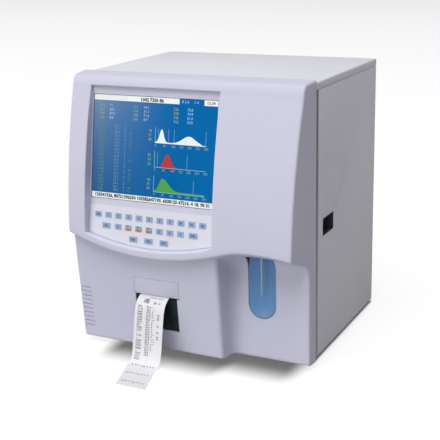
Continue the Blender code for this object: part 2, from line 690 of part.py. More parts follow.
# Side door: a folded steel skin that turns on two pins in the arms of a post
DOOR_GAP = 0.0007
DOOR_FRONT = GROOVE + STRIP_DEPTH + DOOR_GAP
DOOR_REAR = BODY_DEPTH - DOOR_GAP
DOOR_FOOT = 0.016
DOOR_TOP_GAP = 0.001
DOOR_TOP = BODY_TOP - FOLD - DOOR_TOP_GAP
HINGE_INSET = 0.005
HINGE_X = half - HINGE_INSET
HINGE_Y = DOOR_REAR - HINGE_INSET
PIN_RADIUS = 0.0018
PIN_CLEARANCE = 0.0004
PIN_REACH = 0.0032
REAR_RETURN = 0.008
CORNER_RELIEF = 0.0137
ARM_THICK = 0.0030
ARM_HALF = 0.0045
POST_WIDTH = 0.011
POST_INSET = 0.0145
POST_RIGHT = half - POST_INSET
POST_LEFT = POST_RIGHT - POST_WIDTH
PULL_FRONT, PULL_REAR = 0.0289, 0.0754
PULL_FOOT, PULL_TOP = 0.2015, 0.2290
PULL_DEPTH = 0.0135
PULL_WALL = 0.0012
PULL_FLANGE = 0.004
door_inside = half - SHEET
returns = [(door_inside - GAP, DOOR_FRONT), (right_inner, DOOR_FRONT),
           (right_inner, DOOR_REAR - CORNER_RELIEF),
           (half - REAR_RETURN, DOOR_REAR - CORNER_RELIEF + REAR_RETURN / 2),
           (half - REAR_RETURN, DOOR_REAR), (door_inside - GAP, DOOR_REAR)]
door_outline = [(half, DOOR_FRONT), *returns[1:5], (half, DOOR_REAR)]
right_door = piece("right_door", extrusion(door_outline, "Z", DOOR_FOOT, DOOR_TOP), METAL_PAINT, analyzer,
                   (HINGE_X, HINGE_Y, DOOR_FOOT))
hollow_outline = [(door_inside, DOOR_FRONT + SHEET), (right_inner - OVERRUN, DOOR_FRONT + SHEET),
                  (right_inner - OVERRUN, DOOR_REAR - SHEET), (door_inside, DOOR_REAR - SHEET)]
cut(right_door, extrusion(hollow_outline, "Z", DOOR_FOOT + SHEET, DOOR_TOP - SHEET))
for start, end in ((DOOR_FOOT - PIN_REACH, DOOR_FOOT + SHEET / 2),
                   (DOOR_TOP - SHEET / 2, DOOR_TOP + PIN_REACH)):
    add(right_door, rod(PIN_RADIUS, (HINGE_X, HINGE_Y, start), (HINGE_X, HINGE_Y, end), ROUND_SIDES // 2))
cut(right_door, block((door_inside - SHEET, PULL_FRONT - GAP, PULL_FOOT - GAP),
                      (half + SHEET, PULL_REAR + GAP, PULL_TOP + GAP)))

pull_back = half - GAP - PULL_DEPTH
door_pull = piece("door_pull", block((pull_back, PULL_FRONT, PULL_FOOT), (half - GAP, PULL_REAR, PULL_TOP)),
                  DARK, analyzer)
add(door_pull, block((door_inside - GAP - SHEET, PULL_FRONT - PULL_FLANGE, PULL_FOOT - PULL_FLANGE),
                     (door_inside - GAP, PULL_REAR + PULL_FLANGE, PULL_TOP + PULL_FLANGE)))
cut(door_pull, block((pull_back + PULL_WALL, PULL_FRONT + PULL_WALL, PULL_FOOT + PULL_WALL),
                     (half + SHEET, PULL_REAR - PULL_WALL, PULL_TOP - PULL_WALL)))

arm_low = floor_top + GAP
arm_high = DOOR_TOP + GAP
post_front = rear_front - GAP - POST_DEPTH
arm_rear = rear_front - SHEET - GAP * 2
hinge_post = piece("hinge_post", block((POST_LEFT, post_front, arm_low), (POST_RIGHT, arm_rear, under_top)),
                   STEEL, analyzer)
for low, high in ((arm_low, DOOR_FOOT - GAP), (arm_high, arm_high + ARM_THICK)):
    add(hinge_post, block((POST_RIGHT - SHEET, HINGE_Y - ARM_HALF, low), (inner_half, arm_rear, high)))
for low, high in ((arm_low - SHEET, DOOR_FOOT + SHEET), (arm_high - SHEET, arm_high + ARM_THICK + SHEET)):
    cut(hinge_post, rod(PIN_RADIUS + PIN_CLEARANCE, (HINGE_X, HINGE_Y, low), (HINGE_X, HINGE_Y, high),
                        ROUND_SIDES // 2))
cut(hinge_post, block((POST_LEFT + SHEET, post_front - SHEET, DOOR_FOOT * 2),
                      (POST_RIGHT - SHEET, rear_front - SHEET * 3, DOOR_TOP - DOOR_FOOT)))

MAGNET_WIDTH = 0.012
MAGNET_DEPTH = 0.014
MAGNET_HEIGHT = 0.030
magnet_right = right_inner - GAP
magnet_foot = PULL_FOOT
magnet_front = plate_back + GAP
door_magnet = piece("door_magnet", block((magnet_right - MAGNET_WIDTH, magnet_front, magnet_foot),
                                         (magnet_right, magnet_front + MAGNET_DEPTH,
                                          magnet_foot + MAGNET_HEIGHT)), DARK, analyzer)

# Folds on the front plate that locate the cover's side walls, and the hole for the lift motor
TAB_REACH = 0.009
TAB_FOOT = 0.016
TAB_INSET = 0.0039
LIFT_INSET = 0.053
LIFT_X = half - LIFT_INSET
LIFT_FOOT_Z = 0.215
LIFT_TOP_Z = 0.378
PULLEY_RADIUS = 0.010
SHAFT_RADIUS = 0.0025
SHAFT_CLEARANCE = 0.0003
PILOT_RADIUS = 0.011
BELT_FRONT = -0.0190
BELT_WIDTH = 0.006
BELT_THICK = 0.0012
PULLEY_FLANGE = 0.0012
PULLEY_RIM = 0.0012
tab_outer = half - TAB_INSET
add(front_plate, together(*[
    block((min(side * tab_outer, side * (tab_outer - SHEET)), plate_front - TAB_REACH, TAB_FOOT),
          (max(side * tab_outer, side * (tab_outer - SHEET)), plate_back - SHEET / 2, fold_foot))
    for side in (-1, 1)]))
cut(front_plate, rod(PILOT_RADIUS + GAP, (LIFT_X, plate_front - SHEET, LIFT_FOOT_Z),
                     (LIFT_X, plate_back + SHEET, LIFT_FOOT_Z), ROUND_SIDES))
pulley_front = BELT_FRONT - PULLEY_FLANGE - GAP
pulley_back = BELT_FRONT + BELT_WIDTH + PULLEY_FLANGE + GAP
add(front_plate, rod(SHAFT_RADIUS * 2, (LIFT_X, plate_front + SHEET / 2, LIFT_TOP_Z),
                     (LIFT_X, pulley_back + GAP, LIFT_TOP_Z), ROUND_SIDES // 2))
add(front_plate, rod(SHAFT_RADIUS, (LIFT_X, plate_front, LIFT_TOP_Z), (LIFT_X, pulley_front, LIFT_TOP_Z),
                     ROUND_SIDES // 2))

# Lift motor, toothed belt and the two pulleys
MOTOR_HALF = 0.0175
MOTOR_LENGTH = 0.028
motor_front = plate_back + GAP
lift_motor = piece("lift_motor", block((LIFT_X - MOTOR_HALF, motor_front, LIFT_FOOT_Z - MOTOR_HALF),
                                       (LIFT_X + MOTOR_HALF, motor_front + MOTOR_LENGTH,
                                        LIFT_FOOT_Z + MOTOR_HALF)), PUMP_GREY, analyzer)
soften(lift_motor, GAP * 8)
add(lift_motor, rod(PILOT_RADIUS, (LIFT_X, motor_front + SHEET, LIFT_FOOT_Z),
                    (LIFT_X, plate_front - GAP * 2, LIFT_FOOT_Z), ROUND_SIDES))
cut(lift_motor, rod(SHAFT_RADIUS + SHAFT_CLEARANCE, (LIFT_X, plate_front - SHEET, LIFT_FOOT_Z),
                    (LIFT_X, motor_front + MOTOR_LENGTH / 2, LIFT_FOOT_Z), ROUND_SIDES // 2))

pulley_length = pulley_back - pulley_front
groove_start = PULLEY_FLANGE
groove_end = pulley_length - PULLEY_FLANGE
shaft_end = motor_front + MOTOR_LENGTH / 3 - pulley_front
rim_radius = PULLEY_RADIUS + PULLEY_RIM
drum_profile = [(rim_radius, 0.0), (rim_radius, groove_start), (PULLEY_RADIUS, groove_start),
                (PULLEY_RADIUS, groove_end), (rim_radius, groove_end), (rim_radius, pulley_length)]
lift_profile = [(0.0, 0.0), *drum_profile, (SHAFT_RADIUS, pulley_length), (SHAFT_RADIUS, shaft_end),
                (0.0, shaft_end)]
lift_centre = Vector((LIFT_X, pulley_front, LIFT_FOOT_Z))
lift_pulley = piece("lift_pulley", turned(lift_profile, lift_centre, ROUND_SIDES, "Y"), STEEL, analyzer,
                    lift_centre)
bore = SHAFT_RADIUS + SHAFT_CLEARANCE
idler_profile = [(bore, 0.0), *drum_profile, (bore, pulley_length), (bore, 0.0)]
idler_centre = Vector((LIFT_X, pulley_front, LIFT_TOP_Z))
idler_pulley = piece("idler_pulley", turned(idler_profile, idler_centre, ROUND_SIDES, "Y"), STEEL, analyzer,
                     idler_centre)

belt_inner = PULLEY_RADIUS + GAP


def belt_loop(radius):
    """The belt's path seen from the front, round both pulleys."""
    over = arc((LIFT_X, LIFT_TOP_Z), radius, 0, 180, ROUND_SIDES // 2)
    return over + arc((LIFT_X, LIFT_FOOT_Z), radius, 180, 360, ROUND_SIDES // 2)


lift_belt = piece("lift_belt", extrusion(
    belt_loop(belt_inner + BELT_THICK), "Y", BELT_FRONT, BELT_FRONT + BELT_WIDTH), BLACK_RUBBER, analyzer)
cut(lift_belt, extrusion(belt_loop(belt_inner), "Y", BELT_FRONT - BELT_WIDTH, BELT_FRONT + BELT_WIDTH * 2))

# Probe, its carriage and rail, and the block that rinses the needle
PROBE_INSET = 0.077
PROBE_X = half - PROBE_INSET
PROBE_Y = -0.025
PROBE_TIP = 0.1135
PROBE_RADIUS = 0.0012
PROBE_TOP = 0.272
TIP_LENGTH = 0.006
LIFT_TRAVEL = 0.070
CARRIAGE_FOOT, CARRIAGE_TOP = 0.235, 0.265
CARRIAGE_HALF = 0.011
CARRIAGE_FRONT = -0.031
RAIL_HALF = 0.005
RAIL_FRONT = -0.005
RAIL_FOOT = 0.229
RAIL_TOP = 0.345
CLAMP_THICK = 0.003
NECK_Y = -0.008
probe_rail = piece("probe_rail", block((PROBE_X - RAIL_HALF, RAIL_FRONT, RAIL_FOOT),
                                       (PROBE_X + RAIL_HALF, plate_front - GAP, RAIL_TOP)), STEEL, analyzer)
carriage_back = plate_front - SHEET
probe_carriage = piece("probe_carriage", block((PROBE_X - CARRIAGE_HALF, CARRIAGE_FRONT, CARRIAGE_FOOT),
                                               (PROBE_X + CARRIAGE_HALF, carriage_back, CARRIAGE_TOP)),
                       CLEAR_PLASTIC, analyzer, (PROBE_X, PROBE_Y, CARRIAGE_FOOT))
cut(probe_carriage, block((PROBE_X - RAIL_HALF - GAP, RAIL_FRONT - GAP, CARRIAGE_FOOT - RAIL_HALF),
                          (PROBE_X + RAIL_HALF + GAP, plate_front, CARRIAGE_TOP + RAIL_HALF)))
belt_left = LIFT_X - belt_inner - BELT_THICK
clamp_left = PROBE_X + CARRIAGE_HALF - CLAMP_THICK
clamp_right = belt_left + BELT_THICK + GAP + CLAMP_THICK
clamp_front, clamp_back = BELT_FRONT - GAP, BELT_FRONT + BELT_WIDTH + GAP
add(probe_carriage, block((clamp_left, clamp_front - CLAMP_THICK, CARRIAGE_FOOT + CLAMP_THICK),
                          (clamp_right, clamp_back + CLAMP_THICK, CARRIAGE_TOP - CLAMP_THICK)))
cut(probe_carriage, block((belt_left - GAP, clamp_front, CARRIAGE_FOOT - CLAMP_THICK),
                          (belt_left + BELT_THICK + GAP, clamp_back, CARRIAGE_TOP + CLAMP_THICK)))
cut(probe_carriage, rod(PROBE_RADIUS * 2 + GAP, (PROBE_X, PROBE_Y, CARRIAGE_FOOT - CLAMP_THICK),
                        (PROBE_X, PROBE_Y, CARRIAGE_TOP + CLAMP_THICK), ROUND_SIDES // 2))
needle_profile = [(0.0, 0.0), (PROBE_RADIUS / 3, 0.0), (PROBE_RADIUS, TIP_LENGTH),
                  (PROBE_RADIUS, CARRIAGE_FOOT - GAP - PROBE_TIP),
                  (PROBE_RADIUS * 2, CARRIAGE_FOOT - GAP - PROBE_TIP),
                  (PROBE_RADIUS * 2, PROBE_TOP - PROBE_TIP), (0.0, PROBE_TOP - PROBE_TIP)]
needle_place = Vector((PROBE_X, PROBE_Y, PROBE_TIP))
piece("probe_needle", turned(needle_profile, needle_place, ROUND_SIDES // 2), STEEL, analyzer, needle_place)

WIPE_HALF = 0.009
WIPE_FOOT, WIPE_TOP = 0.2045, 0.2205
WIPE_FRONT = -0.035
wipe_block = piece("wipe_block", block((PROBE_X - WIPE_HALF, WIPE_FRONT, WIPE_FOOT),
                                       (PROBE_X + WIPE_HALF, PROBE_Y + WIPE_HALF, WIPE_TOP)),
                   CLEAR_PLASTIC, analyzer)
add(wipe_block, block((PROBE_X - RAIL_HALF, PROBE_Y, WIPE_FOOT + GAP),
                      (PROBE_X + RAIL_HALF, plate_front - GAP, WIPE_TOP - GAP)))
cut(wipe_block, rod(PROBE_RADIUS + GAP, (PROBE_X, PROBE_Y, WIPE_FOOT - GAP * 2),
                    (PROBE_X, PROBE_Y, WIPE_TOP + GAP * 2), ROUND_SIDES // 2))

# Switch behind the aspirate key: the key's stem slides in it and its spring is inside
STEM_RADIUS = 0.003
STEM_CLEARANCE = 0.0004
STEM_REACH = 0.006
SWITCH_HALF = 0.009
key_stem_end = key_back + STEM_REACH
add(aspirate_key, rod(STEM_RADIUS, (KEY_X, key_back - KEY_THICK / 3, slot_centre),
                      (KEY_X, key_stem_end, slot_centre), ROUND_SIDES // 2))
switch_front = key_back + KEY_TRAVEL + GAP
key_switch = piece("key_switch", block((KEY_X - SWITCH_HALF, switch_front, slot_centre - SWITCH_HALF),
                                       (KEY_X + SWITCH_HALF, plate_front - GAP, slot_centre + SWITCH_HALF)),
                   DARK, analyzer)
cut(key_switch, rod(STEM_RADIUS + STEM_CLEARANCE, (KEY_X, switch_front - SHEET, slot_centre),
                    (KEY_X, key_stem_end + KEY_TRAVEL + GAP, slot_centre), ROUND_SIDES // 2))

# Thermal recorder behind the lower front
RECORDER_INSET = 0.1482
RECORDER_X = -half + RECORDER_INSET
RECORDER_Z = 0.045
recorder = frame("recorder_frame", (RECORDER_X, lower_front_y(RECORDER_Z), RECORDER_Z),
                 math.radians(LOWER_LEAN_DEGREES), analyzer)
HATCH_LEFT, HATCH_RIGHT = -0.0381, 0.0347
HATCH_TOP = 0.0550
SLIT = 0.0022
BEZEL_LEFT, BEZEL_RIGHT = -0.0392, 0.0393
BEZEL_TOP = 0.0843
REVEAL = 0.0004
BEZEL_THICK = 0.0026
HATCH_THICK = 0.0026
CHASSIS_HALF = 0.0405
CHASSIS_WALL = 0.0015
CHASSIS_FOOT, CHASSIS_TOP = -0.0020, 0.0860
CHASSIS_FRONT = 0.0034
CHASSIS_BACK = 0.0515
CHASSIS_FLANGE = 0.004
LUG_WIDTH = 0.0030
LUG_HEIGHT = 0.0046
HATCH_AXIS_Y = 0.0016
HATCH_AXIS_Z = 0.0024
HATCH_PIN = 0.0009
ROLL_X = -0.0039
ROLL_Y = 0.0310
ROLL_Z = 0.0215
ROLL_RADIUS = 0.0180
ROLL_CORE = 0.0062
ROLL_HALF = 0.0256
PLATEN_RADIUS = 0.005
PLATEN_Y = 0.0085
PLATEN_Z = 0.0460
PLATEN_PIN = 0.0015
PLATEN_HALF = 0.0270
ARM_X = 0.0290
ARM_WIDTH = 0.0025
HEAD_FRONT = 0.0140
HEAD_BACK = 0.0170
HEAD_FOOT, HEAD_TOP = 0.0405, 0.0530

cut(front_cover, block((HATCH_LEFT - REVEAL, -OVERRUN, -REVEAL),
                       (HATCH_RIGHT + REVEAL, CHASSIS_FRONT + SHEET, HATCH_TOP + SLIT)), recorder)
cut(front_cover, block((BEZEL_LEFT - REVEAL, -OVERRUN, HATCH_TOP),
                       (BEZEL_RIGHT + REVEAL, CHASSIS_FRONT + SHEET, BEZEL_TOP + REVEAL)), recorder)
bezel_foot = HATCH_TOP + SLIT
recorder_bezel = piece("recorder_bezel", block((BEZEL_LEFT, 0, bezel_foot),
                                               (BEZEL_RIGHT, BEZEL_THICK, BEZEL_TOP)), HOUSING, recorder)
shelf = HEAD_TOP + GAP
add(recorder_bezel, block((BEZEL_LEFT + CHASSIS_WALL, BEZEL_THICK / 2, bezel_foot + SHEET),
                          (BEZEL_RIGHT - CHASSIS_WALL, CHASSIS_FRONT + SHEET, BEZEL_TOP - SHEET)))

recorder_chassis = piece("recorder_chassis", block((-CHASSIS_HALF, CHASSIS_FRONT, CHASSIS_FOOT),
                                                   (CHASSIS_HALF, CHASSIS_BACK, CHASSIS_TOP)),
                         DARK, recorder)
add(recorder_chassis, block((-CHASSIS_HALF - CHASSIS_FLANGE, CHASSIS_FRONT, CHASSIS_FOOT - CHASSIS_FLANGE),
                            (CHASSIS_HALF + CHASSIS_FLANGE, CHASSIS_FRONT + SHEET,
                             CHASSIS_TOP + CHASSIS_FLANGE)))
room = CHASSIS_HALF - CHASSIS_WALL
cut(recorder_chassis, block((-room, CHASSIS_FRONT - OVERRUN, CHASSIS_FOOT + CHASSIS_WALL),
                            (room, CHASSIS_BACK - CHASSIS_WALL, CHASSIS_TOP - CHASSIS_WALL)))
lug_places = ((HATCH_LEFT, HATCH_LEFT + LUG_WIDTH), (HATCH_RIGHT - LUG_WIDTH, HATCH_RIGHT))
for left_x, right_x in lug_places:
    add(recorder_chassis, block((left_x, REVEAL, 0), (right_x, CHASSIS_FRONT + SHEET * 2, LUG_HEIGHT)))
    add(recorder_chassis, block((left_x, CHASSIS_FRONT + SHEET, CHASSIS_FOOT + CHASSIS_WALL / 2),
                                (right_x, CHASSIS_FRONT + SHEET * 2, LUG_HEIGHT)))
    cut(recorder_chassis, rod(HATCH_PIN + PIN_CLEARANCE / 2, (left_x - GAP, HATCH_AXIS_Y, HATCH_AXIS_Z),
                              (right_x + GAP, HATCH_AXIS_Y, HATCH_AXIS_Z), ROUND_SIDES // 3))

# Recorder door: rounded about its own pins at the foot, notched for the lugs, with the platen's arms
foot_round = arc((HATCH_AXIS_Y, HATCH_AXIS_Z), HATCH_AXIS_Y, 180, 270, ROUND_STEPS)
hatch_outline = [(0.0, HATCH_TOP)] + foot_round
hatch_outline += [(HATCH_THICK, HATCH_AXIS_Z - HATCH_AXIS_Y), (HATCH_THICK, HATCH_TOP)]
hatch_axis = Vector((0, HATCH_AXIS_Y, HATCH_AXIS_Z))
recorder_door = piece("recorder_door", extrusion(hatch_outline, "X", HATCH_LEFT, HATCH_RIGHT), DARK,
                      recorder, hatch_axis)
for notch_left, notch_right in ((HATCH_LEFT - SHEET, HATCH_LEFT + LUG_WIDTH + GAP),
                                (HATCH_RIGHT - LUG_WIDTH - GAP, HATCH_RIGHT + SHEET)):
    cut(recorder_door, block((notch_left, -SHEET, -SHEET),
                             (notch_right, HATCH_THICK + SHEET, LUG_HEIGHT + GAP)))
add(recorder_door, rod(HATCH_PIN, (HATCH_LEFT + GAP, HATCH_AXIS_Y, HATCH_AXIS_Z),
                       (HATCH_LEFT + LUG_WIDTH * 2, HATCH_AXIS_Y, HATCH_AXIS_Z), ROUND_SIDES // 3))
add(recorder_door, rod(HATCH_PIN, (HATCH_RIGHT - LUG_WIDTH * 2, HATCH_AXIS_Y, HATCH_AXIS_Z),
                       (HATCH_RIGHT - GAP, HATCH_AXIS_Y, HATCH_AXIS_Z), ROUND_SIDES // 3))
arm_reach = PLATEN_Y + PLATEN_PIN * 2
for side in (-1, 1):
    arm_x = ROLL_X + side * ARM_X
    low, high = sorted((arm_x, arm_x + side * ARM_WIDTH))
    add(recorder_door, block((low, HATCH_THICK / 2, PLATEN_Z - PLATEN_PIN * 3),
                             (high, arm_reach, PLATEN_Z + PLATEN_PIN * 2)))
    cut(recorder_door, rod(PLATEN_PIN + PIN_CLEARANCE / 2, (low - GAP, PLATEN_Y, PLATEN_Z),
                           (high + GAP, PLATEN_Y, PLATEN_Z), ROUND_SIDES // 2))
platen_end = ARM_X + ARM_WIDTH - GAP
platen_profile = [(0.0, -platen_end), (PLATEN_PIN, -platen_end), (PLATEN_PIN, -PLATEN_HALF),
                  (PLATEN_RADIUS, -PLATEN_HALF), (PLATEN_RADIUS, PLATEN_HALF), (PLATEN_PIN, PLATEN_HALF),
                  (PLATEN_PIN, platen_end), (0.0, platen_end)]
platen_place = Vector((ROLL_X, PLATEN_Y, PLATEN_Z))
piece("platen_roller", turned(platen_profile, platen_place, ROUND_SIDES, "X"), BLACK_RUBBER, recorder,
      platen_place)
piece("print_head", block((-room + GAP, HEAD_FRONT, HEAD_FOOT), (room - GAP, HEAD_BACK, HEAD_TOP)),
      PUMP_GREY, recorder)
piece("roll_spindle", rod(ROLL_CORE - GAP, (-room + GAP, ROLL_Y, ROLL_Z), (room - GAP, ROLL_Y, ROLL_Z),
                          ROUND_SIDES), STEEL, recorder)
roll_place = Vector((ROLL_X, ROLL_Y, ROLL_Z))
roll_profile = [(ROLL_CORE, -ROLL_HALF), (ROLL_RADIUS, -ROLL_HALF), (ROLL_RADIUS, ROLL_HALF),
                (ROLL_CORE, ROLL_HALF), (ROLL_CORE, -ROLL_HALF)]
piece("paper_roll", turned(roll_profile, roll_place, ROUND_SIDES * 4 // 3, "X"), PAPER, recorder, roll_place)

# Printed strip: out of the slit, down to the bench and forward along it
STRIP_THICK = 0.0002
STRIP_DRIFT = 0.018
STRIP_INSIDE = 0.0028
STRIP_LAND_Y = -0.1082
STRIP_LAID = 8
STRIP_COLUMNS = 4
TORN_STEP = 0.0012
DROP_SHARES = ((0.091, 0.990), (0.209, 0.956), (0.298, 0.909), (0.355, 0.859), (0.404, 0.780),
               (0.436, 0.691), (0.503, 0.523), (0.569, 0.335), (0.626, 0.201), (0.683, 0.107),
               (0.759, 0.043), (0.863, 0.010))

lean = math.radians(LOWER_LEAN_DEGREES)
slit_z = HATCH_TOP + SLIT / 2
slit = Vector((STRIP_INSIDE * math.cos(lean) - slit_z * math.sin(lean) + lower_front_y(RECORDER_Z),
               STRIP_INSIDE * math.sin(lean) + slit_z * math.cos(lean) + RECORDER_Z))
strip_left = RECORDER_X + ROLL_X - ROLL_HALF
strip_width = ROLL_HALF * 2
strip_line = [tuple(slit)]
strip_line += [(slit.x + (STRIP_LAND_Y - slit.x) * run, GAP + (slit.y - GAP) * drop)
               for run, drop in DROP_SHARES]
strip_line += [(STRIP_LAND_Y + (STRIP_END_Y - STRIP_LAND_Y) * i / STRIP_LAID, GAP)
               for i in range(STRIP_LAID + 1)]


def strip_shape():
    shape = bmesh.new()
    rows = []
    for index, (y, z) in enumerate(strip_line):
        before = Vector(strip_line[max(index - 1, 0)])
        after = Vector(strip_line[min(index + 1, len(strip_line) - 1)])
        along = (after - before).normalized()
        normal = Vector((along.y, -along.x))
        drift = STRIP_DRIFT * max((STRIP_LAND_Y - y) / (STRIP_LAND_Y - STRIP_END_Y), 0.0)
        row = []
        for side in (0.0, STRIP_THICK):
            for column in range(STRIP_COLUMNS + 1):
                x = strip_left + strip_width * column / STRIP_COLUMNS + drift
                torn = TORN_STEP * (column % 2) if index == len(strip_line) - 1 else 0.0
                row.append(shape.verts.new((x, y + normal.x * side + torn, z + abs(normal.y) * side)))
        rows.append(row)
    wide = STRIP_COLUMNS + 1
    for one, two in zip(rows, rows[1:]):
        for i in range(STRIP_COLUMNS):
            shape.faces.new((one[i], one[i + 1], two[i + 1], two[i]))
            shape.faces.new((one[wide + i], two[wide + i], two[wide + i + 1], one[wide + i + 1]))
        shape.faces.new((one[0], two[0], two[wide], one[wide]))
        shape.faces.new((one[wide - 1], one[2 * wide - 1], two[2 * wide - 1], two[wide - 1]))
    for row in (rows[0], rows[-1]):
        for i in range(STRIP_COLUMNS):
            shape.faces.new((row[i], row[wide + i], row[wide + i + 1], row[i + 1]))
    bmesh.ops.recalc_face_normals(shape, faces=shape.faces)
    return shape


piece("paper_strip", strip_shape(), PAPER, analyzer)

# Mixing baths on the partition
BATH_HALF = 0.016
BATH_REACH = 0.042
BATH_FOOT, BATH_TOP = 0.200, 0.262
BATH_BORE = 0.0115
BATH_FLOOR = 0.010
BATH_MOUNT = 0.004
DRAIN_RADIUS = 0.003
DRAIN_LENGTH = 0.008
BATH_FRONT_Y = 0.040
BATH_PITCH = 0.044
BATH_PLACES = {"wbc_bath": BATH_FRONT_Y, "rbc_bath": BATH_FRONT_Y + BATH_PITCH}
mount_x = partition_right + GAP
bath_x = mount_x + BATH_REACH - BATH_HALF
for name, bath_y in BATH_PLACES.items():
    bath = piece(name, turned([(0.0, 0.0), (BATH_HALF, 0.0), (BATH_HALF, BATH_TOP - BATH_FOOT),
                               (0.0, BATH_TOP - BATH_FOOT)], (bath_x, bath_y, BATH_FOOT), ROUND_SIDES),
                 CLEAR_PLASTIC, analyzer)
    add(bath, block((mount_x, bath_y - BATH_HALF - BATH_MOUNT, BATH_FOOT + BATH_MOUNT),
                    (mount_x + BATH_MOUNT, bath_y + BATH_HALF + BATH_MOUNT, BATH_TOP - BATH_MOUNT)))
    add(bath, block((mount_x + BATH_MOUNT / 2, bath_y - BATH_BORE, BATH_FOOT + BATH_MOUNT * 2),
                    (bath_x, bath_y + BATH_BORE, BATH_TOP - BATH_MOUNT * 2)))
    add(bath, rod(DRAIN_RADIUS, (bath_x, bath_y, BATH_FOOT + BATH_MOUNT),
                  (bath_x, bath_y, BATH_FOOT - DRAIN_LENGTH), ROUND_SIDES // 2))
    cut(bath, rod(BATH_BORE, (bath_x, bath_y, BATH_FOOT + BATH_FLOOR),
                  (bath_x, bath_y, BATH_TOP + BATH_FLOOR), ROUND_SIDES))

# Sampling and diluting syringes: one motor pushes both plungers
SYRINGE_FRONT, SYRINGE_REAR = 0.124, 0.186
SYRINGE_FOOT, SYRINGE_TOP = 0.140, 0.338
SYRINGE_ARM = 0.009
SYRINGE_MIDDLE = 0.245
SYRINGE_REACH = 0.052
SYRINGE_PLATE = 0.004
BARREL_PITCH = 0.030
BARREL_RADIUS = 0.0065
BARREL_BORE = 0.0045
PLUNGER_RADIUS = 0.0042
STROKE = 0.035
CROSSBAR_Z = 0.1900
CROSSBAR_HEIGHT = 0.0080
CROSSBAR_HALF = 0.0070
ACTUATOR_HALF = 0.0160
ACTUATOR_LENGTH = 0.0260
RISER_LOW = 0.118
syringe_x = mount_x + SYRINGE_REACH - ACTUATOR_HALF
syringe_y = (SYRINGE_FRONT + SYRINGE_REAR) / 2
syringe_end = mount_x + SYRINGE_REACH
middle_top = SYRINGE_MIDDLE + SYRINGE_ARM
top_arm_foot = SYRINGE_TOP - SYRINGE_ARM
barrel_places = (syringe_y - BARREL_PITCH / 2, syringe_y + BARREL_PITCH / 2)
syringe_frame = piece("syringe_frame", block((mount_x, SYRINGE_FRONT, SYRINGE_FOOT),
                                             (mount_x + SYRINGE_PLATE, SYRINGE_REAR, SYRINGE_TOP)),
                      METAL_PAINT, analyzer)
for arm_foot in (SYRINGE_FOOT, SYRINGE_MIDDLE, top_arm_foot):
    add(syringe_frame, block((mount_x + SYRINGE_PLATE / 2, SYRINGE_FRONT, arm_foot),
                             (syringe_end, SYRINGE_REAR, arm_foot + SYRINGE_ARM)))
for barrel_y in barrel_places:
    cut(syringe_frame, rod(PLUNGER_RADIUS + GAP * 2, (syringe_x, barrel_y, SYRINGE_MIDDLE - SYRINGE_ARM),
                           (syringe_x, barrel_y, middle_top + SYRINGE_ARM), ROUND_SIDES // 2))
cut(syringe_frame, rod(SHAFT_RADIUS + GAP * 2, (syringe_x, syringe_y, SYRINGE_FOOT - SYRINGE_ARM),
                       (syringe_x, syringe_y, SYRINGE_FOOT + SYRINGE_ARM * 2), ROUND_SIDES // 2))
for name, barrel_y in zip(("syringe_barrel_a", "syringe_barrel_b"), barrel_places):
    barrel_profile = [(BARREL_BORE, 0.0), (BARREL_RADIUS, 0.0),
                      (BARREL_RADIUS, top_arm_foot - middle_top - GAP * 2),
                      (BARREL_BORE, top_arm_foot - middle_top - GAP * 2), (BARREL_BORE, 0.0)]
    piece(name, turned(barrel_profile, (syringe_x, barrel_y, middle_top + GAP), ROUND_SIDES), CLEAR_PLASTIC,
          analyzer)
actuator_foot = SYRINGE_FOOT + SYRINGE_ARM + GAP
syringe_motor = piece("syringe_motor",
                      block((syringe_x - ACTUATOR_HALF, syringe_y - ACTUATOR_HALF, actuator_foot),
                            (syringe_x + ACTUATOR_HALF, syringe_y + ACTUATOR_HALF,
                             actuator_foot + ACTUATOR_LENGTH)), PUMP_GREY, analyzer)
soften(syringe_motor, GAP * 8)
cut(syringe_motor, rod(SHAFT_RADIUS + SHAFT_CLEARANCE, (syringe_x, syringe_y, actuator_foot - SYRINGE_ARM),
                       (syringe_x, syringe_y, actuator_foot + ACTUATOR_LENGTH * 2), ROUND_SIDES // 2))
plunger_place = Vector((syringe_x, syringe_y, CROSSBAR_Z))
syringe_plunger = piece("syringe_plunger",
                        block((syringe_x - CROSSBAR_HALF, SYRINGE_FRONT + GAP * 8, CROSSBAR_Z),
                              (syringe_x + CROSSBAR_HALF, SYRINGE_REAR - GAP * 8,
                               CROSSBAR_Z + CROSSBAR_HEIGHT)), STEEL, analyzer, plunger_place)
for barrel_y in barrel_places:
    add(syringe_plunger, rod(PLUNGER_RADIUS, (syringe_x, barrel_y, CROSSBAR_Z + CROSSBAR_HEIGHT / 2),
                             (syringe_x, barrel_y, top_arm_foot - STROKE - SYRINGE_ARM), ROUND_SIDES // 2))
add(syringe_plunger, rod(SHAFT_RADIUS, (syringe_x, syringe_y, CROSSBAR_Z + CROSSBAR_HEIGHT / 2),
                         (syringe_x, syringe_y, RISER_LOW), ROUND_SIDES // 2))

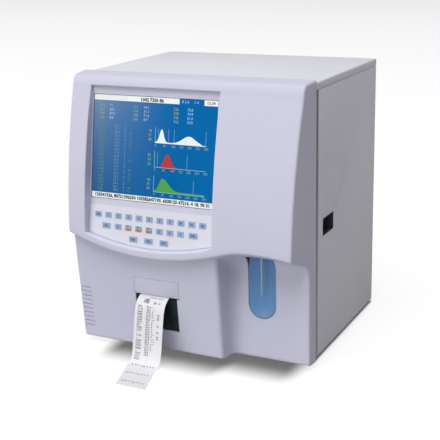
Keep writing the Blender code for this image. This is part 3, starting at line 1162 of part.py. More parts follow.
# Valve bank, waste chamber and pump
VALVE_COUNT = 5
VALVE_PITCH = 0.019
VALVE_WIDTH = 0.014
VALVE_FRONT = 0.026
MANIFOLD_FOOT, MANIFOLD_TOP = 0.082, 0.106
MANIFOLD_DEPTH = 0.018
VALVE_REACH = 0.052
VALVE_HALF_HEIGHT = 0.010
PORT_RADIUS = 0.0025
PORT_REACH = 0.007
valve_length = VALVE_PITCH * VALVE_COUNT
valve_bank = piece("valve_bank", block((mount_x, VALVE_FRONT, MANIFOLD_FOOT),
                                       (mount_x + MANIFOLD_DEPTH, VALVE_FRONT + valve_length, MANIFOLD_TOP)),
                   CLEAR_PLASTIC, analyzer)
valve_z = (MANIFOLD_FOOT + MANIFOLD_TOP) / 2
valve_ys = [VALVE_FRONT + VALVE_PITCH * (i * 2 + 1) / 2 for i in range(VALVE_COUNT)]
add(valve_bank, together(
    *[block((mount_x + MANIFOLD_DEPTH / 2, y - VALVE_WIDTH / 2, valve_z - VALVE_HALF_HEIGHT),
            (mount_x + VALVE_REACH, y + VALVE_WIDTH / 2, valve_z + VALVE_HALF_HEIGHT)) for y in valve_ys]))
port_x = mount_x + MANIFOLD_DEPTH / 2
add(valve_bank, together(*[rod(PORT_RADIUS, (port_x, y, MANIFOLD_TOP - PORT_REACH),
                               (port_x, y, MANIFOLD_TOP + PORT_REACH), ROUND_SIDES // 3)
                           for y in valve_ys]))

CHAMBER_INSET, CHAMBER_Y = 0.0845, 0.214
CHAMBER_X = half - CHAMBER_INSET
CHAMBER_RADIUS = 0.030
CHAMBER_HEIGHT = 0.118
CHAMBER_SHOULDER = 0.012
CAP_RADIUS = 0.016
RIB = 0.002
chamber_profile = [(0.0, 0.0), (CHAMBER_RADIUS, 0.0), (CHAMBER_RADIUS, CHAMBER_HEIGHT - CHAMBER_SHOULDER),
                   (CAP_RADIUS, CHAMBER_HEIGHT), (CAP_RADIUS, CHAMBER_HEIGHT + RIB),
                   (CAP_RADIUS + RIB, CHAMBER_HEIGHT + RIB),
                   (CAP_RADIUS + RIB, CHAMBER_HEIGHT + CHAMBER_SHOULDER),
                   (PORT_RADIUS, CHAMBER_HEIGHT + CHAMBER_SHOULDER),
                   (PORT_RADIUS, CHAMBER_HEIGHT + CHAMBER_SHOULDER + PORT_REACH),
                   (0.0, CHAMBER_HEIGHT + CHAMBER_SHOULDER + PORT_REACH)]
chamber_foot = floor_top + GAP
piece("waste_chamber", turned(chamber_profile, (CHAMBER_X, CHAMBER_Y, chamber_foot), ROUND_SIDES),
      CLEAR_PLASTIC, analyzer)

PUMP_INSET = 0.0725
PUMP_X = half - PUMP_INSET
PUMP_FRONT, PUMP_REAR = 0.040, 0.125
PUMP_RADIUS = 0.0165
PUMP_HEAD = 0.030
PUMP_HEAD_HALF = 0.019
pump_z = chamber_foot + PUMP_HEAD_HALF
pump_top = chamber_foot + PUMP_HEAD_HALF * 2
liquid_pump = piece("liquid_pump", block((PUMP_X - PUMP_HEAD_HALF, PUMP_FRONT, chamber_foot),
                                         (PUMP_X + PUMP_HEAD_HALF, PUMP_FRONT + PUMP_HEAD, pump_top)),
                    PUMP_GREY, analyzer)
soften(liquid_pump, GAP * 8)
add(liquid_pump, rod(PUMP_RADIUS, (PUMP_X, PUMP_FRONT + PUMP_HEAD / 2, pump_z), (PUMP_X, PUMP_REAR, pump_z),
                     ROUND_SIDES))
pump_ports = (PUMP_FRONT + PUMP_HEAD / 4, PUMP_FRONT + PUMP_HEAD * 3 / 4)
for y in pump_ports:
    add(liquid_pump, rod(PORT_RADIUS, (PUMP_X, y, pump_top - PORT_REACH), (PUMP_X, y, pump_top + PORT_REACH),
                         ROUND_SIDES // 3))

# Power supply, main board and fan
SUPPLY_INSET, SUPPLY_WIDTH = 0.0185, 0.114
SUPPLY_LEFT = -half + SUPPLY_INSET
SUPPLY_RIGHT = SUPPLY_LEFT + SUPPLY_WIDTH
SUPPLY_FRONT, SUPPLY_REAR = 0.060, 0.236
SUPPLY_TOP = 0.066
SUPPLY_SLOTS = 7
SUPPLY_SLOT = 0.004
SUPPLY_SLOT_PITCH = 0.018
SUPPLY_SLOT_DEPTH = 0.003
power_supply = piece("power_supply", block((SUPPLY_LEFT, SUPPLY_FRONT, chamber_foot),
                                           (SUPPLY_RIGHT, SUPPLY_REAR, SUPPLY_TOP)), STEEL, analyzer)
slot_start = (SUPPLY_FRONT + SUPPLY_REAR - SUPPLY_SLOT_PITCH * (SUPPLY_SLOTS - 1)) / 2
cut(power_supply, together(*[block(
    (SUPPLY_LEFT + SUPPLY_SLOT_PITCH, slot_start + SUPPLY_SLOT_PITCH * i, SUPPLY_TOP - SUPPLY_SLOT_DEPTH),
    (SUPPLY_RIGHT - SUPPLY_SLOT_PITCH, slot_start + SUPPLY_SLOT_PITCH * i + SUPPLY_SLOT,
     SUPPLY_TOP + SUPPLY_SLOT_DEPTH)) for i in range(SUPPLY_SLOTS)]))

STANDOFF_LENGTH = 0.0089
MAIN_LEFT = PARTITION_X - STANDOFF_LENGTH - BOARD_THICK
MAIN_FRONT, MAIN_REAR = 0.035, 0.235
MAIN_FOOT, MAIN_TOP = 0.105, 0.325
STANDOFF_INSET = 0.008
STANDOFF_RADIUS = 0.003
CHIP_RISE = 0.004
main_right = MAIN_LEFT + BOARD_THICK
main_board = piece("main_board", block((MAIN_LEFT, MAIN_FRONT, MAIN_FOOT),
                                       (main_right, MAIN_REAR, MAIN_TOP)), BOARD_GREEN, analyzer)
add(main_board, together(*[rod(STANDOFF_RADIUS, (main_right - BOARD_THICK / 2, y, z),
                               (PARTITION_X - GAP, y, z), ROUND_SIDES // 3)
                           for y in (MAIN_FRONT + STANDOFF_INSET, MAIN_REAR - STANDOFF_INSET)
                           for z in (MAIN_FOOT + STANDOFF_INSET, MAIN_TOP - STANDOFF_INSET)]))
main_depth = MAIN_REAR - MAIN_FRONT
main_height = MAIN_TOP - MAIN_FOOT
CHIP_SHARES = ((0.30, 0.70, 0.16, 0.15), (0.62, 0.66, 0.10, 0.22), (0.25, 0.38, 0.10, 0.10),
               (0.50, 0.30, 0.20, 0.08), (0.82, 0.50, 0.07, 0.60), (0.50, 0.10, 0.60, 0.06))
add(main_board, together(*[block((MAIN_LEFT - CHIP_RISE, MAIN_FRONT + main_depth * (y - wide / 2),
                                  MAIN_FOOT + main_height * (z - tall / 2)),
                                 (MAIN_LEFT + BOARD_THICK / 2, MAIN_FRONT + main_depth * (y + wide / 2),
                                  MAIN_FOOT + main_height * (z + tall / 2)))
                           for y, z, wide, tall in CHIP_SHARES]))

FAN_DEPTH = 0.025
FAN_BORE = 0.0375
HUB_RADIUS = 0.016
BLADE_COUNT = 7
BLADE_TIP = 0.0360
BLADE_THICK = 0.0016
BLADE_TURN_DEGREES = 28
HUB_DEPTH = 0.020
STRUT = 0.004
fan_back = rear_front - GAP
fan_front = fan_back - FAN_DEPTH
fan_frame = piece("fan_frame", block((FAN_X - FAN_SIZE / 2, fan_front, FAN_Z - FAN_SIZE / 2),
                                     (FAN_X + FAN_SIZE / 2, fan_back, FAN_Z + FAN_SIZE / 2)), DARK, analyzer)
cut(fan_frame, rod(FAN_BORE, (FAN_X, fan_front - SHEET, FAN_Z), (FAN_X, fan_back + SHEET, FAN_Z),
                   ROUND_SIDES * 4 // 3))
add(fan_frame, block((FAN_X - FAN_BORE - STRUT, fan_front, FAN_Z - STRUT / 2),
                     (FAN_X + FAN_BORE + STRUT, fan_front + STRUT / 2, FAN_Z + STRUT / 2)))
add(fan_frame, block((FAN_X - STRUT / 2, fan_front, FAN_Z - FAN_BORE - STRUT),
                     (FAN_X + STRUT / 2, fan_front + STRUT / 2, FAN_Z + FAN_BORE + STRUT)))
add(fan_frame, rod(HUB_RADIUS, (FAN_X, fan_front, FAN_Z), (FAN_X, fan_front + STRUT / 2, FAN_Z),
                   ROUND_SIDES))
hub_front = fan_front + STRUT / 2 + GAP
fan_place = Vector((FAN_X, hub_front, FAN_Z))
fan_rotor = piece("fan_rotor", rod(HUB_RADIUS, fan_place, fan_place + Vector((0, HUB_DEPTH, 0)),
                                   ROUND_SIDES), DARK, analyzer, fan_place)
blades = []
for i in range(BLADE_COUNT):
    blade = block((HUB_RADIUS - BLADE_THICK, -HUB_DEPTH / 2, -BLADE_THICK / 2),
                  (BLADE_TIP, HUB_DEPTH / 2, BLADE_THICK / 2))
    pitch = Matrix.Rotation(math.radians(BLADE_TURN_DEGREES), 4, "X")
    spin = Matrix.Rotation(2 * math.pi * i / BLADE_COUNT, 4, "Y")
    middle = Matrix.Translation((FAN_X, hub_front + HUB_DEPTH / 2, FAN_Z))
    bmesh.ops.transform(blade, matrix=middle @ spin @ pitch, verts=blade.verts)
    blades.append(blade)
add(fan_rotor, together(*blades))

# Rear: mains inlet with its switch, signal ports, fluid fittings
PLATE_THICK = 0.0015
INLET_DEPTH = 0.022
SOCKET_X = -0.014
SOCKET_HALF_X, SOCKET_HALF_Z = 0.012, 0.0085
SOCKET_BACK = 0.017
PRONG = 0.001
SWITCH_X = 0.018
ROCKER_HALF_X, ROCKER_HALF_Z = 0.0065, 0.0092
ROCKER_DEPTH = 0.0060
ROCKER_RISE = 0.0025
ROCKER_RIDGE = 0.0028
ROCKER_TIP = 0.0048
ROCKER_PIN = 0.0012
panel_back = BODY_DEPTH
plate_face = panel_back + GAP + PLATE_THICK
mains_inlet = piece("mains_inlet", block(
    (POWER_X - POWER_WIDTH / 2, panel_back + GAP, POWER_Z - POWER_HEIGHT / 2),
    (POWER_X + POWER_WIDTH / 2, plate_face, POWER_Z + POWER_HEIGHT / 2)), DARK, analyzer)
inlet_wide = POWER_WIDTH / 2 - PANEL_RIM - GAP
inlet_tall = POWER_HEIGHT / 2 - PANEL_RIM - GAP
add(mains_inlet, block((POWER_X - inlet_wide, panel_back - INLET_DEPTH, POWER_Z - inlet_tall),
                       (POWER_X + inlet_wide, panel_back + PLATE_THICK, POWER_Z + inlet_tall)))
socket_x = POWER_X + SOCKET_X
cut(mains_inlet, block((socket_x - SOCKET_HALF_X, panel_back - SOCKET_BACK, POWER_Z - SOCKET_HALF_Z),
                       (socket_x + SOCKET_HALF_X, plate_face + SHEET, POWER_Z + SOCKET_HALF_Z)))
prong_places = ((-SOCKET_HALF_X / 2, -PRONG * 2), (0, PRONG * 3), (SOCKET_HALF_X / 2, -PRONG * 2))
add(mains_inlet, together(
    *[block((socket_x + x - PRONG, panel_back - SOCKET_BACK - SHEET, POWER_Z + z - PRONG * 2),
            (socket_x + x + PRONG, panel_back - SHEET, POWER_Z + z + PRONG * 2)) for x, z in prong_places]))
switch_x = POWER_X + SWITCH_X
well_half_x, well_half_z = ROCKER_HALF_X + GAP * 2, ROCKER_HALF_Z + GAP * 4
cut(mains_inlet, block((switch_x - well_half_x, panel_back - ROCKER_DEPTH * 2, POWER_Z - well_half_z),
                       (switch_x + well_half_x, plate_face + SHEET, POWER_Z + well_half_z)))
pin_y = plate_face - ROCKER_RISE
cut(mains_inlet, rod(ROCKER_PIN + GAP, (switch_x - well_half_x - SHEET, pin_y, POWER_Z),
                     (switch_x + well_half_x + SHEET, pin_y, POWER_Z), ROUND_SIDES // 2))
rocker_outline = [(pin_y - ROCKER_DEPTH, POWER_Z), (pin_y, POWER_Z - ROCKER_HALF_Z),
                  (pin_y + ROCKER_RIDGE, POWER_Z - ROCKER_HALF_Z), (pin_y + ROCKER_RIDGE, POWER_Z),
                  (pin_y + ROCKER_TIP, POWER_Z + ROCKER_HALF_Z), (pin_y, POWER_Z + ROCKER_HALF_Z)]
rocker_place = Vector((switch_x, pin_y, POWER_Z))
power_switch = piece("power_switch", extrusion(
    rocker_outline, "X", switch_x - ROCKER_HALF_X, switch_x + ROCKER_HALF_X), DARK, analyzer, rocker_place)
add(power_switch, rod(ROCKER_PIN, (switch_x - well_half_x - SHEET / 2, pin_y, POWER_Z),
                      (switch_x + well_half_x + SHEET / 2, pin_y, POWER_Z), ROUND_SIDES // 2))

PORT_BLOCK_DEPTH = 0.014
PORT_RECESS = 0.008
SERIAL_X = -0.028
SERIAL_PITCH = 0.014
SERIAL_WIDTH, SERIAL_HEIGHT = 0.018, 0.008
NETWORK_WIDTH, NETWORK_HEIGHT = 0.014, 0.012
SMALL_X = 0.022
SMALL_PITCH = 0.012
SMALL_WIDTH, SMALL_HEIGHT = 0.013, 0.0055
rear_ports = piece("rear_ports", block(
    (PORTS_X - PORTS_WIDTH / 2, panel_back + GAP, PORTS_Z - PORTS_HEIGHT / 2),
    (PORTS_X + PORTS_WIDTH / 2, plate_face, PORTS_Z + PORTS_HEIGHT / 2)), STEEL, analyzer)
ports_wide = PORTS_WIDTH / 2 - PANEL_RIM - GAP
ports_tall = PORTS_HEIGHT / 2 - PANEL_RIM - GAP
add(rear_ports, block((PORTS_X - ports_wide, panel_back - PORT_BLOCK_DEPTH, PORTS_Z - ports_tall),
                      (PORTS_X + ports_wide, panel_back + PLATE_THICK, PORTS_Z + ports_tall)))
port_sizes = [(SERIAL_X, side * SERIAL_PITCH / 2, SERIAL_WIDTH, SERIAL_HEIGHT) for side in (-1, 1)]
port_sizes += [(SMALL_X, side * SMALL_PITCH / 2, SMALL_WIDTH, SMALL_HEIGHT) for side in (-1, 1)]
port_sizes.append((0, 0, NETWORK_WIDTH, NETWORK_HEIGHT))
cut(rear_ports, together(*[block((PORTS_X + x - wide / 2, panel_back - PORT_RECESS, PORTS_Z + z - tall / 2),
                                 (PORTS_X + x + wide / 2, plate_face + SHEET, PORTS_Z + z + tall / 2))
                           for x, z, wide, tall in port_sizes]))

FITTING_PLATE = 0.004
FITTING_PLATE_HALF = 0.012
FITTING_EDGE = 0.010
BARB_RADIUS = 0.0032
BARB_BORE = 0.0016
plate_rear = rear_front - GAP
fittings_low = FITTINGS_Z - FITTING_PLATE_HALF
fluid_fittings = piece("fluid_fittings", block(
    (fitting_places[0] - FITTING_EDGE, plate_rear - FITTING_PLATE, fittings_low),
    (fitting_places[-1] + FITTING_EDGE, plate_rear, FITTINGS_Z + FITTING_PLATE_HALF)), PUMP_GREY, analyzer)
flange_end = FITTING_REACH / 3
nipple = [(0.0, -SHEET * 2), (FITTING_RADIUS, -SHEET * 2), (FITTING_RADIUS, flange_end),
          (BARB_RADIUS, flange_end), (BARB_RADIUS, FITTING_REACH * 2 / 3),
          (BARB_RADIUS + GAP, FITTING_REACH * 2 / 3), (BARB_BORE + GAP, FITTING_REACH),
          (BARB_BORE, FITTING_REACH), (BARB_BORE, flange_end), (0.0, flange_end)]
for x in fitting_places:
    add(fluid_fittings, turned(nipple, (x, panel_back, FITTINGS_Z), ROUND_SIDES // 2, "Y"))

# Hoses between the baths, the valves, the pump and the waste chamber
HOSE_RADIUS = 0.0024
HOSE_ROUNDNESS = 2
HOSE_SPACING = 0.012
HOSE_LEG = 0.006


def hose(name, route):
    """A hose on a smooth curve through its route's points, read a few diameters apart."""
    points = [Vector(point) for point in route]
    knots = [points[0], *points, points[-1]]
    path = []
    for before, here, after, later in zip(knots, knots[1:], knots[2:], knots[3:]):
        steps = max(round((after - here).length / HOSE_SPACING), 1)
        for i in range(steps):
            t = i / steps
            path.append((here * 2 + (after - before) * t
                         + (before * 2 - here * 5 + after * 4 - later) * t ** 2
                         + (here * 3 - before - after * 3 + later) * t ** 3) / 2)
    path.append(points[-1])
    curve = bpy.data.curves.new(name, "CURVE")
    curve.dimensions = "3D"
    curve.bevel_depth = HOSE_RADIUS
    curve.bevel_resolution = HOSE_ROUNDNESS
    curve.use_fill_caps = True
    spline = curve.splines.new("POLY")
    spline.points.add(len(path) - 1)
    for point, place in zip(spline.points, path):
        point.co = (*place, 1)
    made = bpy.data.objects.new(name, curve)
    bpy.context.collection.objects.link(made)
    made.parent = analyzer
    made.modifiers.new("facets", "TRIANGULATE")
    return paint(made, CLEAR_PLASTIC)


drain_foot = BATH_FOOT - DRAIN_LENGTH - GAP
port_top = MANIFOLD_TOP + PORT_REACH + GAP
DRAIN_SHARES = ((0.15, 0.25), (0.5, 0.5), (0.85, 0.75))
DRAIN_VALVES = {"hose_wbc_drain": ("wbc_bath", 0), "hose_rbc_drain": ("rbc_bath", 3)}
for name, (bath_name, valve) in DRAIN_VALVES.items():
    from_bath = Vector((bath_x, BATH_PLACES[bath_name], drain_foot))
    to_valve = Vector((port_x, valve_ys[valve], port_top))
    way = to_valve - from_bath
    drop = Vector((0, 0, HOSE_LEG))
    hose(name, [from_bath, from_bath - drop,
                *[from_bath + Vector((way.x * side, way.y * side, way.z * down))
                  for side, down in DRAIN_SHARES],
                to_valve + drop, to_valve])

WASTE_RISE = 0.026
WASTE_SHARES = ((0.061, 0.383), (0.237, 0.707), (0.499, 0.924), (0.809, 1.0), (0.882, 0.983),
                (0.944, 0.936), (0.985, 0.864))
chamber_port = chamber_foot + CHAMBER_HEIGHT + CHAMBER_SHOULDER + PORT_REACH + GAP
pump_port = pump_top + PORT_REACH + GAP
out_of_pump = Vector((PUMP_X, pump_ports[1], pump_port + HOSE_LEG))
into_chamber = Vector((CHAMBER_X, CHAMBER_Y, chamber_port + HOSE_LEG))
waste_way = into_chamber - out_of_pump
waste_climb = waste_way.z + WASTE_RISE
hose("hose_waste", [(PUMP_X, pump_ports[1], pump_port), out_of_pump,
                    *[out_of_pump + Vector((waste_way.x * run, waste_way.y * run, waste_climb * climb))
                      for run, climb in WASTE_SHARES],
                    into_chamber, (CHAMBER_X, CHAMBER_Y, chamber_port)])

for made in bpy.data.objects:
    if made.type == "MESH" and not made.hide_render:
        smooth(made)
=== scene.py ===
import json
import math
import random

import bmesh
import bpy
from mathutils import Matrix, Vector

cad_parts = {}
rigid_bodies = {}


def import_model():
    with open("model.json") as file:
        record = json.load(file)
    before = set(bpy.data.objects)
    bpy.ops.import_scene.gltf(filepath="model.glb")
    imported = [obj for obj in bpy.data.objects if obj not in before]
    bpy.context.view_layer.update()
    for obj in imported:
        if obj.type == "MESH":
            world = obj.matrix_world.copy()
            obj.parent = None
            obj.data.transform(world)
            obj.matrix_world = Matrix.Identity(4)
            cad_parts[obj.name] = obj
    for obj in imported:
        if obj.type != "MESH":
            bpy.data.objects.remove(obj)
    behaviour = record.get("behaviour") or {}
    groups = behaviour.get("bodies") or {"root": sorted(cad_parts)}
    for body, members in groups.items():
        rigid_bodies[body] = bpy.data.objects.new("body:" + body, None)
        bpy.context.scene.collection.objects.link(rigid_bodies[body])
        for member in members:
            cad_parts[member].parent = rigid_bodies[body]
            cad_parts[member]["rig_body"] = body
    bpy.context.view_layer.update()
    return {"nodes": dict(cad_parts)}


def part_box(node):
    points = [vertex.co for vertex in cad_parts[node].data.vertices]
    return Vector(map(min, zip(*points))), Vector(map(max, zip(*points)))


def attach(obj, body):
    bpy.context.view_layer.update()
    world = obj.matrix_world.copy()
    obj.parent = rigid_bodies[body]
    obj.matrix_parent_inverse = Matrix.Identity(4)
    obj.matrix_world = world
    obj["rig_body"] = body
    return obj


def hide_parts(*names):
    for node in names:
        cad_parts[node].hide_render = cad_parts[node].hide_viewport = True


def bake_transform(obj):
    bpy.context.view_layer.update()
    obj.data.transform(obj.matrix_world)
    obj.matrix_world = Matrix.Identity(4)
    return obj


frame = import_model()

# Studio: a plain pale bench that runs out of view, a wide soft lamp high in front, a second one low at
# the front left, and an even sky. What looks at the bench or the sky sees a white studio with the
# case's cast shadow. Painted into the bench's colour are a fall-off to grey far behind and a soft
# painted shadow along the case's foot.
BENCH_HALF = 30.0
BENCH_GREY = 0.42
BENCH_GLOW, BENCH_SHADED = 0.84, 0.22
BENCH_BEHIND, BENCH_FAR, BENCH_PAINTED_FALLOFF = 1.0, 8.0, 0.21
PAINTED_SHADOW_MIDDLE, PAINTED_SHADOW_HALF = (0.0175, 0.063), (0.1375, 0.141)
PAINTED_SHADOW_STEP, PAINTED_SHADOW_FORWARD = (0.05, 0.08), 0.024
PAINTED_SHADOW_REACH, PAINTED_SHADOW_SIDE, PAINTED_SHADOW_DARK = 0.07, 1.8, 0.82
OVERHEAD_FROM, OVERHEAD_LEVEL, OVERHEAD_SPREAD = (-0.02, -0.42, 0.90), 0.755, math.radians(50)
FILL_FROM, FILL_LEVEL, FILL_SPREAD = (-0.45, -0.88, 0.15), 0.345, math.radians(45)
SKY_LEVEL, SKY_SEEN = 0.145, 0.92

scene = bpy.context.scene
scene.view_settings.view_transform = "Standard"


class Link:
    """The value of one socket. Arithmetic on it adds Math nodes to its tree."""

    def __init__(self, maker, socket):
        self.maker, self.socket = maker, socket

    def math(self, operation, first, second=0.0):
        return self.maker.add("ShaderNodeMath", {"operation": operation}, {0: first, 1: second})

    def __add__(self, other):
        return self.math("ADD", self, other)

    def __sub__(self, other):
        return self.math("SUBTRACT", self, other)

    def __rsub__(self, other):
        return self.math("SUBTRACT", other, self)

    def __mul__(self, other):
        return self.math("MULTIPLY", self, other)

    def __pow__(self, other):
        return self.math("POWER", self, other)

    def __gt__(self, other):
        return self.math("GREATER_THAN", self, other)

    def __lt__(self, other):
        return self.math("LESS_THAN", self, other)

    def larger(self, other):
        return self.math("MAXIMUM", self, other)

    def part(self):
        return self.math("FRACT", self)

    def size(self):
        return self.math("ABSOLUTE", self)

    def step(self, low, high):
        """0 at low and under, 1 at high and over, with a soft run between."""
        return self.maker.add("ShaderNodeMapRange", {"interpolation_type": "SMOOTHSTEP"},
                              {0: self, 1: low, 2: high})

    __radd__ = __add__
    __rmul__ = __mul__


class Maker:
    """Adds nodes to one tree: each gets its settings first, then the values or links of its sockets."""

    def __init__(self, tree):
        self.tree = tree

    def add(self, kind, settings=None, sockets=None, out=0):
        node = self.tree.nodes.new(kind)
        for name, value in (settings or {}).items():
            setattr(node, name, value)
        for name, value in (sockets or {}).items():
            self.feed(node.inputs[name], value)
        return Link(self, node.outputs[out])

    def feed(self, socket, value):
        if isinstance(value, Link):
            self.tree.links.new(value.socket, socket)
        elif isinstance(value, bpy.types.Node):
            self.tree.links.new(value.outputs[0], socket)
        elif socket.type == "RGBA":
            socket.default_value = (*value, 1.0)
        else:
            socket.default_value = value

    def blended(self, share, first, second):
        """One colour into another."""
        return self.add("ShaderNodeMix", {"data_type": "RGBA"}, {0: share, 6: first, 7: second}, out=2)


class Finish(Maker):
    """A Principled surface whose patterns are worked out on the piece's own place.

    spots is what mottled takes and sheen what glossed takes. grain is the size, depth, detail and
    upward squeeze of fine bumps, and edge the radius that sharp edges seem to have beside them.
    """

    def __init__(self, name, colour, roughness, metallic=0.0, spots=None, grain=None, sheen=None,
                 edge=0.0, **fixed):
        self.material = bpy.data.materials.new(name)
        self.material.use_nodes = True
        super().__init__(self.material.node_tree)
        self.shader = self.tree.nodes["Principled BSDF"]
        self.colour = colour
        self.put("Base Color", colour)
        self.put("Roughness", roughness)
        self.put("Metallic", metallic)
        for socket, value in fixed.items():
            self.put(socket.replace("_", " "), value)
        self.place = self.add("ShaderNodeTexCoord", out="Object")
        if spots:
            self.mottled(*spots)
        if grain:
            size, depth, *shape = grain
            self.relief(self.noise(size, *shape), depth, edge)
        if sheen:
            self.glossed(*sheen)

    def put(self, socket, value):
        self.feed(self.shader.inputs[socket], value)

    def along(self, axis):
        """The place along one axis, in metres."""
        return self.add("ShaderNodeSeparateXYZ", None, {0: self.place}, out=axis)

    def noise(self, scale, detail=2.0, squeeze=1.0):
        """Cloudy values, finer along the upright by a squeeze."""
        spot = self.add("ShaderNodeVectorMath", {"operation": "MULTIPLY"},
                        {0: self.place, 1: (1.0, 1.0, squeeze)})
        return self.add("ShaderNodeTexNoise", None, {"Vector": spot, "Scale": scale, "Detail": detail})

    def bands(self, run, low, high):
        """Soft-edged bands, one for each whole step of a run of values."""
        return (run.part() - 0.5).size().step(low, high)

    def mottled(self, scale, other):
        """Clouds of another colour, or of the surface's own made darker by a share."""
        if isinstance(other, float):
            other = tuple(channel * (1 - other) for channel in self.colour)
        mixed = self.blended(self.noise(scale, 4.0).step(0.35, 0.65), self.colour, other)
        self.put("Base Color", mixed)
        return mixed

    def glossed(self, scale, spread, least, *shape):
        """A roughness that changes slowly from its least value."""
        self.put("Roughness", self.noise(scale, *shape) * spread + least)

    def painted(self):
        """The colour that each point of the piece was given."""
        return self.add("ShaderNodeAttribute", {"attribute_name": "paint"}, out="Color")

    def relief(self, height, depth, edge=0.0):
        sockets = {"Height": height, "Distance": depth}
        if edge:
            sockets["Normal"] = self.add("ShaderNodeBevel", {"samples": 6}, {"Radius": edge})
        self.put("Normal", self.add("ShaderNodeBump", None, sockets))


def looked_at(maker):
    """1 for what the camera, a reflection or clear plastic sees, 0 for light that bounces."""
    seen_by = [maker.add("ShaderNodeLightPath", out=ray)
               for ray in ("Is Camera Ray", "Is Glossy Ray", "Is Transmission Ray")]
    return seen_by[0].larger(seen_by[1]).larger(seen_by[2])


bench = Finish("bench", (BENCH_GREY,) * 3, 0.8)
# Painted fall-off: the bench's colour greys from a metre behind the case out into the distance.
painted_falloff = bench.add("ShaderNodeMapRange", None,
                 {0: bench.along(1), 1: BENCH_BEHIND, 2: BENCH_FAR, 4: BENCH_PAINTED_FALLOFF})
# Painted shadow: a dark edge painted into the bench's colour round the case's foot, fading out over a reach.
off_side = ((bench.along(0) - PAINTED_SHADOW_MIDDLE[0]).size() - PAINTED_SHADOW_HALF[0]).larger(0.0) * PAINTED_SHADOW_SIDE
forward = (1 - bench.along(0).step(*PAINTED_SHADOW_STEP)) * PAINTED_SHADOW_FORWARD
off_front = ((bench.along(1) - PAINTED_SHADOW_MIDDLE[1]).size() - PAINTED_SHADOW_HALF[1] - forward).larger(0.0)
off = (off_side * off_side + off_front * off_front) ** 0.5
painted_shadow = (1 - off.step(0.0, PAINTED_SHADOW_REACH)) * PAINTED_SHADOW_DARK
nothing = (0.0, 0.0, 0.0)
white = bench.blended((1 - painted_falloff) * (1 - painted_shadow), nothing, (1.0, 1.0, 1.0))
glow = bench.add("ShaderNodeEmission", None, {"Color": white, "Strength": BENCH_GLOW})
shaded = bench.add("ShaderNodeBsdfDiffuse", None, {"Color": bench.blended(BENCH_SHADED, nothing, white)})
seen = bench.add("ShaderNodeAddShader", None, {0: glow, 1: shaded})
both = bench.add("ShaderNodeMixShader", None, {0: looked_at(bench), 1: bench.shader, 2: seen})
bench.feed(bench.tree.nodes["Material Output"].inputs["Surface"], both)

bench_mesh = bpy.data.meshes.new("bench")
bench_mesh.from_pydata([(-BENCH_HALF, -BENCH_HALF, 0), (BENCH_HALF, -BENCH_HALF, 0),
                        (BENCH_HALF, BENCH_HALF, 0), (-BENCH_HALF, BENCH_HALF, 0)], [], [(0, 1, 2, 3)])
bench_mesh.materials.append(bench.material)
bench_top = bpy.data.objects.new("bench", bench_mesh)
scene.collection.objects.link(bench_top)

for name, come_from, light_level, spread in (
        ("overhead", OVERHEAD_FROM, OVERHEAD_LEVEL, OVERHEAD_SPREAD),
        ("fill", FILL_FROM, FILL_LEVEL, FILL_SPREAD)):
    lamp = bpy.data.lights.new(name, "SUN")
    lamp.energy = light_level * math.pi
    lamp.angle = spread
    lamp_stand = bpy.data.objects.new(name, lamp)
    lamp_stand.rotation_euler = Vector(come_from).to_track_quat("Z", "Y").to_euler()
    scene.collection.objects.link(lamp_stand)

sky = bpy.data.worlds.new("sky")
sky.use_nodes = True
air = Maker(sky.node_tree)
even = sky.node_tree.nodes["Background"]
air.feed(even.inputs["Color"], (1.0, 1.0, 1.0))
air.feed(even.inputs["Strength"], SKY_LEVEL)
bright = air.add("ShaderNodeBackground", None, {"Color": (1.0, 1.0, 1.0), "Strength": SKY_SEEN})
sky_seen = air.add("ShaderNodeMixShader", None, {0: looked_at(air), 1: even, 2: bright})
air.feed(sky.node_tree.nodes["World Output"].inputs["Surface"], sky_seen)
scene.world = sky

# Camera: stands low at the front right, as in the photograph, a little above the top of the case
# and tilted down. Its place and turn come from lines of the case fitted in the square frame.
CASE_Y = -0.05935
CAMERA_PLACE = (0.6895, -1.3025 + CASE_Y, 0.64577)
CAMERA_YAW, CAMERA_PITCH, CAMERA_ROLL = -0.463931, -0.285546, -0.024898
CAMERA_LENS = 80.94
CAMERA_SENSOR = 36.0

ahead = Vector((math.sin(CAMERA_YAW) * math.cos(CAMERA_PITCH),
                math.cos(CAMERA_YAW) * math.cos(CAMERA_PITCH), math.sin(CAMERA_PITCH)))
level = ahead.cross(Vector((0, 0, 1))).normalized()
upright = level.cross(ahead)
to_right = level * math.cos(CAMERA_ROLL) + upright * math.sin(CAMERA_ROLL)
to_top = upright * math.cos(CAMERA_ROLL) - level * math.sin(CAMERA_ROLL)
camera = bpy.data.objects.new("camera", bpy.data.cameras.new("camera"))
camera.data.lens = CAMERA_LENS
camera.data.sensor_width = CAMERA_SENSOR
camera.data.clip_end = BENCH_HALF * 4
camera.matrix_world = Matrix((to_right, to_top, -ahead)).transposed().to_4x4()
camera.location = CAMERA_PLACE
scene.collection.objects.link(camera)
scene.camera = camera

